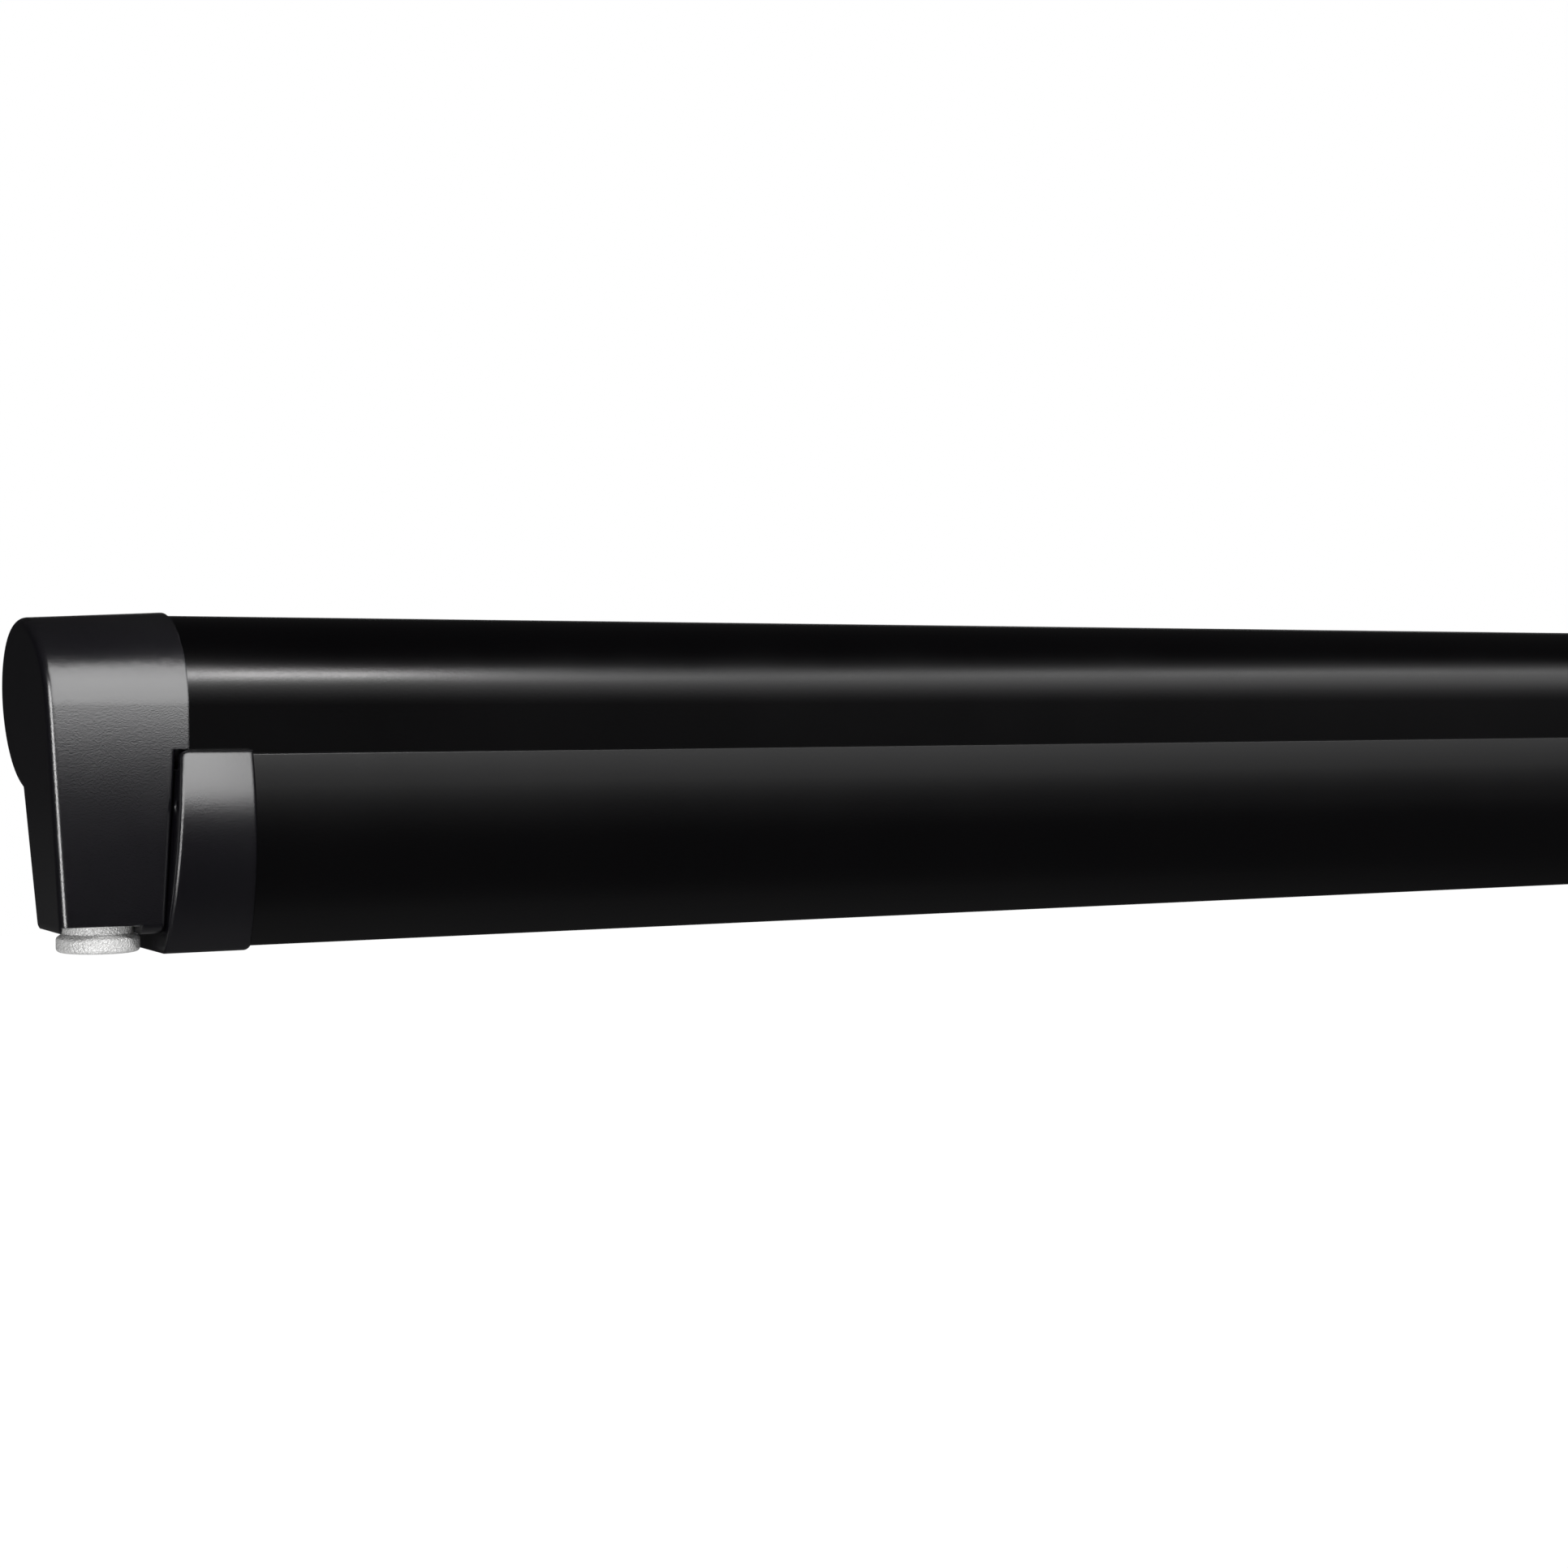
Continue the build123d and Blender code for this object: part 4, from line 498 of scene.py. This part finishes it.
def dressed_copy(node):
    """A smooth copy of a CAD piece that stands for it."""
    shape = bmesh.new()
    shape.from_mesh(frame["nodes"][node].data)
    bmesh.ops.remove_doubles(shape, verts=shape.verts, dist=JOIN_DISTANCE)
    bmesh.ops.dissolve_degenerate(shape, edges=shape.edges, dist=SLIVER_LENGTH)
    for edge in shape.edges:
        edge.smooth = edge.is_manifold and edge.calc_face_angle(0) < SHARP_ANGLE
    for face in shape.faces:
        face.smooth = True
    mesh = bpy.data.meshes.new(node + "_dressed")
    shape.to_mesh(mesh)
    shape.free()
    if "custom_normal" in mesh.attributes:
        mesh.attributes.remove(mesh.attributes["custom_normal"])
    mesh.materials.clear()
    mesh.materials.append(FINISHES[slot_of_node[node]])
    copy = bpy.data.objects.new(node + "_dressed", mesh)
    bpy.context.scene.collection.objects.link(copy)
    weighted = copy.modifiers.new("even_shading", "WEIGHTED_NORMAL")
    weighted.mode = "FACE_AREA"
    weighted.keep_sharp = True
    made_final(copy)
    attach(copy, body_of_node[node])
    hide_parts(node)
    return copy


MADE_ANEW = ("fabric_roll", "fabric_span", "arm_spring_left", "arm_spring_right")
for node_name in frame["nodes"]:
    if node_name not in MADE_ANEW:
        dressed_copy(node_name)

# One cloth in two pieces: the roll, and the free span to the hem
ROLLER = (-0.046, 0.022)
CORE_RADIUS = 0.0200
ROLL_PITCH = 0.00045
CLOTH_THICKNESS = 0.00036
ROLL_TURNS = 14.36
FIRST_TURN = 0.25
CLOTH_HALF_WIDTH = 1.19
TANGENT = radians(-84.7)
TANGENT_POINT = (ROLLER[0] + 0.00245, ROLLER[1] - 0.02637)
HEM_POINT = (ROLLER[0] - 0.0305, ROLLER[1] - 0.0292)
STEPS_PER_TURN = 40
SPAN_STEPS = 48
WIDTH_STEPS = 16


def roll_path():
    """The rolled cloth's line in the section: a spiral from the roller out to the last turn."""
    points = []
    steps = int(ROLL_TURNS * STEPS_PER_TURN)
    for step in range(steps + 1):
        turned = ROLL_TURNS * step / steps
        angle = TANGENT + 2 * pi * (ROLL_TURNS - turned)
        radius = CORE_RADIUS + ROLL_PITCH * (turned + FIRST_TURN)
        points.append((ROLLER[0] + radius * cos(angle), ROLLER[1] + radius * sin(angle)))
    return points


def span_path(first):
    """The free cloth's line in the section: straight from the roll to the hem."""
    points = []
    for step in range(SPAN_STEPS + 1):
        share = step / SPAN_STEPS
        y = first[0] + (HEM_POINT[0] - first[0]) * share
        z = first[1] + (HEM_POINT[1] - first[1]) * share
        points.append((y, z))
    return points


def cloth_sheet(name, path):
    """Awning cloth along a line of the section, as a thin closed sheet, and its length."""
    mesh = bpy.data.meshes.new(name)
    vertices = []
    faces = []
    for y, z in path:
        for column in range(WIDTH_STEPS + 1):
            x = -CLOTH_HALF_WIDTH + 2 * CLOTH_HALF_WIDTH * column / WIDTH_STEPS
            vertices.append((x, y, z))
    row = WIDTH_STEPS + 1
    for line in range(len(path) - 1):
        for column in range(WIDTH_STEPS):
            corner = line * row + column
            faces.append((corner, corner + 1, corner + row + 1, corner + row))
    mesh.from_pydata(vertices, [], faces)
    mesh.shade_smooth()
    cloth = bpy.data.objects.new(name, mesh)
    bpy.context.scene.collection.objects.link(cloth)
    wall = cloth.modifiers.new("cloth_thickness", "SOLIDIFY")
    wall.thickness = CLOTH_THICKNESS
    wall.offset = 0.0
    mesh.materials.append(FINISHES["awning_fabric"])
    length = sum(
        sqrt((b[0] - a[0]) ** 2 + (b[1] - a[1]) ** 2) for a, b in zip(path, path[1:])
    )
    return made_final(cloth), length


rolled_line = roll_path()
rolled_cloth, rolled_length = cloth_sheet("rolled_cloth", rolled_line)
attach(rolled_cloth, "roller")
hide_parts("fabric_roll")

free_cloth, free_length = cloth_sheet("free_cloth", span_path(rolled_line[-1]))
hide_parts("fabric_span")
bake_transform(free_cloth)


# Pieces that repeat along a line, made by geometry nodes
INTEGER = "NodeSocketInt"
MATERIAL = "NodeSocketMaterial"


def finish_group(group, shape, given, out):
    """Real, smooth mesh with its material at the end of a geometry node group."""
    real = new_node(group, "GeometryNodeRealizeInstances")
    group.links.new(shape, real.inputs["Geometry"])
    smooth = new_node(group, "GeometryNodeSetShadeSmooth")
    group.links.new(real.outputs[0], smooth.inputs[0])
    covered = new_node(group, "GeometryNodeSetMaterial")
    group.links.new(smooth.outputs[0], covered.inputs["Geometry"])
    group.links.new(given.outputs["Material"], covered.inputs["Material"])
    group.links.new(covered.outputs[0], out.inputs["Geometry"])
    return group


def stitches_group():
    """Rows of sewn stitches: long rounded grains at an even pitch along X."""
    group, given, out = new_group(
        "stitch_rows",
        [
            ("Start", VECTOR, (0, 0, 0)),
            ("Count", INTEGER, 10),
            ("Pitch", VECTOR, (0.005, 0, 0)),
            ("Rows", INTEGER, 2),
            ("Row Offset", VECTOR, (0, 0.003, 0)),
            ("Stitch Size", VECTOR, (0.0016, 0.0003, 0.0003)),
            ("Material", MATERIAL, None),
        ],
        [("Geometry", "NodeSocketGeometry")],
        kind="GeometryNodeTree",
    )
    ball = {"Segments": 8, "Rings": 6, "Radius": 1.0}
    grain = new_node(group, "GeometryNodeMeshUVSphere", values=ball)
    stitch = new_node(group, "GeometryNodeTransform")
    group.links.new(grain.outputs["Mesh"], stitch.inputs["Geometry"])
    group.links.new(given.outputs["Stitch Size"], stitch.inputs["Scale"])
    line = new_node(group, "GeometryNodeMeshLine")
    group.links.new(given.outputs["Count"], line.inputs["Count"])
    group.links.new(given.outputs["Start"], line.inputs["Start Location"])
    group.links.new(given.outputs["Pitch"], line.inputs["Offset"])
    sewn = new_node(group, "GeometryNodeInstanceOnPoints")
    group.links.new(line.outputs["Mesh"], sewn.inputs["Points"])
    group.links.new(stitch.outputs["Geometry"], sewn.inputs["Instance"])
    rows = new_node(group, "GeometryNodeMeshLine")
    group.links.new(given.outputs["Rows"], rows.inputs["Count"])
    group.links.new(given.outputs["Row Offset"], rows.inputs["Offset"])
    repeated = new_node(group, "GeometryNodeInstanceOnPoints")
    group.links.new(rows.outputs["Mesh"], repeated.inputs["Points"])
    group.links.new(sewn.outputs["Instances"], repeated.inputs["Instance"])
    return finish_group(group, repeated.outputs["Instances"], given, out)


def spring_group():
    """A coil spring along X with the cable that it pulls."""
    group, given, out = new_group(
        "coil_spring",
        [
            ("Start", VECTOR, (0, 0, 0)),
            ("Turn", VECTOR, (0, pi / 2, 0)),
            ("Coils", FLOAT, 100.0),
            ("Coil Radius", FLOAT, 0.004),
            ("Wire Radius", FLOAT, 0.0008),
            ("Length", FLOAT, 0.4),
            ("Cable Radius", FLOAT, 0.001),
            ("Cable End", VECTOR, (0, 0, 0.6)),
            ("Material", MATERIAL, None),
        ],
        [("Geometry", "NodeSocketGeometry")],
        kind="GeometryNodeTree",
    )
    coil = new_node(group, "GeometryNodeCurveSpiral", values={"Resolution": 14})
    group.links.new(given.outputs["Coils"], coil.inputs["Rotations"])
    group.links.new(given.outputs["Coil Radius"], coil.inputs["Start Radius"])
    group.links.new(given.outputs["Coil Radius"], coil.inputs["End Radius"])
    group.links.new(given.outputs["Length"], coil.inputs["Height"])
    cable = new_node(group, "GeometryNodeCurvePrimitiveLine")
    group.links.new(given.outputs["Cable End"], cable.inputs["End"])
    both = new_node(group, "GeometryNodeJoinGeometry")
    for curve, radius, sides in ((coil, "Wire Radius", 6), (cable, "Cable Radius", 10)):
        ring = new_node(group, "GeometryNodeCurvePrimitiveCircle", values={"Resolution": sides})
        group.links.new(given.outputs[radius], ring.inputs["Radius"])
        wire = new_node(group, "GeometryNodeCurveToMesh", values={"Fill Caps": True})
        group.links.new(curve.outputs["Curve"], wire.inputs["Curve"])
        group.links.new(ring.outputs["Curve"], wire.inputs["Profile Curve"])
        group.links.new(wire.outputs["Mesh"], both.inputs[0])
    placed = new_node(group, "GeometryNodeTransform")
    group.links.new(both.outputs[0], placed.inputs["Geometry"])
    group.links.new(given.outputs["Start"], placed.inputs["Translation"])
    group.links.new(given.outputs["Turn"], placed.inputs["Rotation"])
    return finish_group(group, placed.outputs["Geometry"], given, out)


def made_by_nodes(name, group, sizes):
    """An object whose plain mesh comes from a geometry node group and its named sizes."""
    thing = bpy.data.objects.new(name, bpy.data.meshes.new(name))
    bpy.context.scene.collection.objects.link(thing)
    maker = thing.modifiers.new(name, "NODES")
    maker.node_group = group
    for item in group.interface.items_tree:
        if item.in_out == "INPUT" and item.name in sizes:
            maker[item.identifier] = sizes[item.name]
    return made_final(thing)


STITCH_PITCH = 0.0052
STITCH_FROM_HEM = 0.0062
STITCH_ROW_GAP = 0.0028
STITCH_MARGIN = 0.008
STITCH_SIZE = (0.0019, 0.00042, 0.00026)
SPAN_SLOPE = (HEM_POINT[1] - TANGENT_POINT[1]) / (HEM_POINT[0] - TANGENT_POINT[0])
stitch_surface = HEM_POINT[1] + STITCH_FROM_HEM * SPAN_SLOPE + CLOTH_THICKNESS / 2
stitches = made_by_nodes(
    "hem_stitches",
    stitches_group(),
    {
        "Start": (-CLOTH_HALF_WIDTH + STITCH_MARGIN, HEM_POINT[0] + STITCH_FROM_HEM, stitch_surface),
        "Count": int(2 * (CLOTH_HALF_WIDTH - STITCH_MARGIN) / STITCH_PITCH),
        "Pitch": (STITCH_PITCH, 0, 0),
        "Rows": 2,
        "Row Offset": (0, STITCH_ROW_GAP, STITCH_ROW_GAP * SPAN_SLOPE),
        "Stitch Size": STITCH_SIZE,
        "Material": FINISHES["hem_cord"],
    },
)
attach(stitches, "fabric_front")

SPRING_WIRE = 0.0008
SPRING_LENGTH = 0.48
SPRING_PITCH = 0.0024
WIRE_INSET = 1.1
CABLE_RADIUS = 0.0012
coil_spring = spring_group()
for side, direction in (("left", 1), ("right", -1)):
    node = "arm_spring_" + side
    low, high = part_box(node)
    near = low[0] if direction > 0 else high[0]
    radius = (high[1] - low[1]) / 2
    spring = made_by_nodes(
        node + "_coils",
        coil_spring,
        {
            "Start": (near, (low[1] + high[1]) / 2, (low[2] + high[2]) / 2),
            "Turn": (0, direction * pi / 2, 0),
            "Coils": SPRING_LENGTH / SPRING_PITCH,
            "Coil Radius": radius - WIRE_INSET * SPRING_WIRE,
            "Wire Radius": SPRING_WIRE,
            "Length": SPRING_LENGTH,
            "Cable Radius": CABLE_RADIUS,
            "Cable End": (0, 0, high[0] - low[0]),
            "Material": FINISHES[slot_of_node[node]],
        },
    )
    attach(spring, body_of_node[node])
    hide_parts(node)


# Floor, backdrop and lights
FLOOR_HEIGHT = -2.7
FLOOR_SIZE = 60.0
FLOOR_SEEN = 0.96
FLOOR_MIRRORED = 0.25
FLOOR_BOUNCE = 0.35
POOL_RADIUS = 5.5
POOL_CORE = 2.6


def pale_floor():
    """A plain floor that the camera sees white, with the awning's shadow on it."""
    mesh = bpy.data.meshes.new("studio_floor")
    half = FLOOR_SIZE / 2
    corners = [(-half, -half), (half, -half), (half, half), (-half, half)]
    mesh.from_pydata([(x, y, FLOOR_HEIGHT) for x, y in corners], [], [(0, 1, 2, 3)])
    floor = bpy.data.objects.new("studio_floor", mesh)
    bpy.context.scene.collection.objects.link(floor)
    material = bpy.data.materials.new("pale_floor")
    material.use_nodes = True
    tree = material.node_tree
    tree.nodes.clear()
    output = new_node(tree, "ShaderNodeOutputMaterial")
    shader = new_node(
        tree,
        "ShaderNodeBsdfPrincipled",
        values={
            "Base Color": (0.22, 0.22, 0.22, 1.0),
            "Roughness": 0.9,
            "Specular IOR Level": 0.0,
            "Emission Color": (1.0, 1.0, 1.0, 1.0),
        },
    )
    path = new_node(tree, "ShaderNodeLightPath")
    place = new_node(tree, "ShaderNodeTexCoord").outputs["Object"]
    far = new_node(tree, "ShaderNodeVectorMath", {"operation": "LENGTH"})
    tree.links.new(place, far.inputs[0])
    pool = ramp_node(
        tree, far.outputs["Value"], POOL_RADIUS, POOL_CORE, to_high=FLOOR_MIRRORED, smooth=True
    )
    mirrored = math_node(tree, "MULTIPLY", pool, path.outputs["Is Glossy Ray"])
    seen = math_node(tree, "MULTIPLY", path.outputs["Is Camera Ray"], FLOOR_SEEN)
    spread = math_node(tree, "MULTIPLY", path.outputs["Is Diffuse Ray"], FLOOR_BOUNCE)
    glow = math_node(tree, "ADD", math_node(tree, "ADD", seen, mirrored), spread)
    tree.links.new(glow, shader.inputs["Emission Strength"])
    tree.links.new(shader.outputs[0], output.inputs[0])
    mesh.materials.append(material)


# Brightness of the studio's front, by the upward part of the direction
FRONT_GLOW = (
    (-0.2, 0.02),
    (0.0, 0.12),
    (0.1, 0.2),
    (0.2, 0.5),
    (0.3, 1.1),
    (0.4, 1.8),
    (0.5, 2.5),
    (0.6, 1.5),
    (0.7, 0.2),
    (0.8, 0.03),
    (1.0, 0.03),
)
GLOW_PEAK = 4.0
STUDIO_REST = 0.02
DIFFUSE_LEVEL = 0.3
BACKDROP_WAY = (0.5, 0.866, 0.0)


def studio_world():
    """White behind the awning for the camera and for reflections, a soft glow in front, dark above."""
    world = bpy.data.worlds.new("studio")
    bpy.context.scene.world = world
    world.use_nodes = True
    tree = world.node_tree
    tree.nodes.clear()
    output = new_node(tree, "ShaderNodeOutputWorld")
    direction = new_node(tree, "ShaderNodeTexCoord").outputs["Generated"]
    split = new_node(tree, "ShaderNodeSeparateXYZ")
    tree.links.new(direction, split.inputs[0])
    toward = new_node(tree, "ShaderNodeVectorMath", {"operation": "DOT_PRODUCT"})
    toward.inputs[1].default_value = BACKDROP_WAY
    tree.links.new(direction, toward.inputs[0])
    behind = math_node(
        tree,
        "MULTIPLY",
        ramp_node(tree, toward.outputs["Value"], 0.9, 0.98, smooth=True),
        ramp_node(tree, split.outputs["Z"], 0.3, 0.1, smooth=True),
    )
    glow = new_node(tree, "ShaderNodeFloatCurve")
    curve = glow.mapping.curves[0]
    places = [((upward + 1) / 2, level / GLOW_PEAK) for upward, level in FRONT_GLOW]
    curve.points[0].location = places[0]
    curve.points[-1].location = places[-1]
    for place in places[1:-1]:
        curve.points.new(*place)
    glow.mapping.update()
    halved = math_node(tree, "MULTIPLY", math_node(tree, "ADD", split.outputs["Z"], 1.0), 0.5)
    tree.links.new(halved, glow.inputs["Value"])
    in_front = math_node(
        tree,
        "MULTIPLY",
        ramp_node(tree, split.outputs["Y"], -0.15, -0.55, smooth=True),
        ramp_node(tree, split.outputs["X"], -0.1, 0.6, smooth=True),
    )
    front = math_node(
        tree, "MULTIPLY", math_node(tree, "MULTIPLY", glow.outputs[0], GLOW_PEAK), in_front
    )
    studio = math_node(tree, "ADD", math_node(tree, "ADD", behind, front), STUDIO_REST)
    path = new_node(tree, "ShaderNodeLightPath")
    mirrored = math_node(
        tree, "MAXIMUM", path.outputs["Is Glossy Ray"], path.outputs["Is Transmission Ray"]
    )
    seen = path.outputs["Is Camera Ray"]
    neither = math_node(tree, "SUBTRACT", math_node(tree, "SUBTRACT", 1.0, mirrored), seen)
    lit = math_node(tree, "MULTIPLY", neither, DIFFUSE_LEVEL)
    shown = math_node(tree, "ADD", math_node(tree, "MULTIPLY", studio, mirrored), seen)
    strength = math_node(tree, "ADD", shown, lit)
    background = new_node(tree, "ShaderNodeBackground", values={"Color": (1.0, 1.0, 1.0, 1.0)})
    tree.links.new(strength, background.inputs["Strength"])
    tree.links.new(background.outputs[0], output.inputs[0])


def softbox(name, place, target, size, power):
    """A soft rectangular lamp that the camera doesn't see."""
    data = bpy.data.lights.new(name, "AREA")
    data.shape = "RECTANGLE"
    data.size, data.size_y = size
    data.energy = power
    lamp = bpy.data.objects.new(name, data)
    lamp.location = place
    lamp.rotation_euler = (Vector(target) - Vector(place)).to_track_quat("-Z", "Y").to_euler()
    lamp.visible_camera = False
    bpy.context.scene.collection.objects.link(lamp)
    return lamp


def light_linked(lamp, names, alone):
    """The lamp lights the named pieces alone, or all but them, so that the pale pieces don't clip."""
    linked = bpy.data.collections.new(lamp.name + "_linked")
    for name in names:
        linked.objects.link(bpy.data.objects[name])
    for member in linked.collection_objects:
        member.light_linking.link_state = "INCLUDE" if alone else "EXCLUDE"
    lamp.light_linking.receiver_collection = linked


BLACK_CAPS = ("end_cap_left_dressed", "lead_rail_cap_left_dressed")
KEY_TARGET = (-0.9, -0.05, 0.0)

pale_floor()
studio_world()
softbox("key_strip", (0.75, -2.55, 1.97), KEY_TARGET, size=(2.8, 0.3), power=6.0)
key_near = softbox("key_near", (-0.47, -2.5, 1.97), KEY_TARGET, size=(1.0, 0.3), power=34.0)
edge_strip = softbox(
    "edge_strip", (-3.0, -1.9, 0.1), (-1.3, -0.05, 0.0), size=(0.3, 1.8), power=110.0
)
near_panel = softbox(
    "near_panel", (-1.255, -0.245, 0.14), (-1.255, -0.05, 0.14), size=(0.21, 0.25), power=1.6
)
socket_fill = softbox(
    "socket_fill", (-2.4, -1.5, -0.5), (-1.28, -0.06, -0.08), size=(0.5, 0.5), power=16.0
)
light_linked(key_near, BLACK_CAPS, alone=False)
light_linked(edge_strip, BLACK_CAPS, alone=True)
light_linked(near_panel, BLACK_CAPS, alone=True)
light_linked(socket_fill, ("crank_socket_dressed",), alone=True)
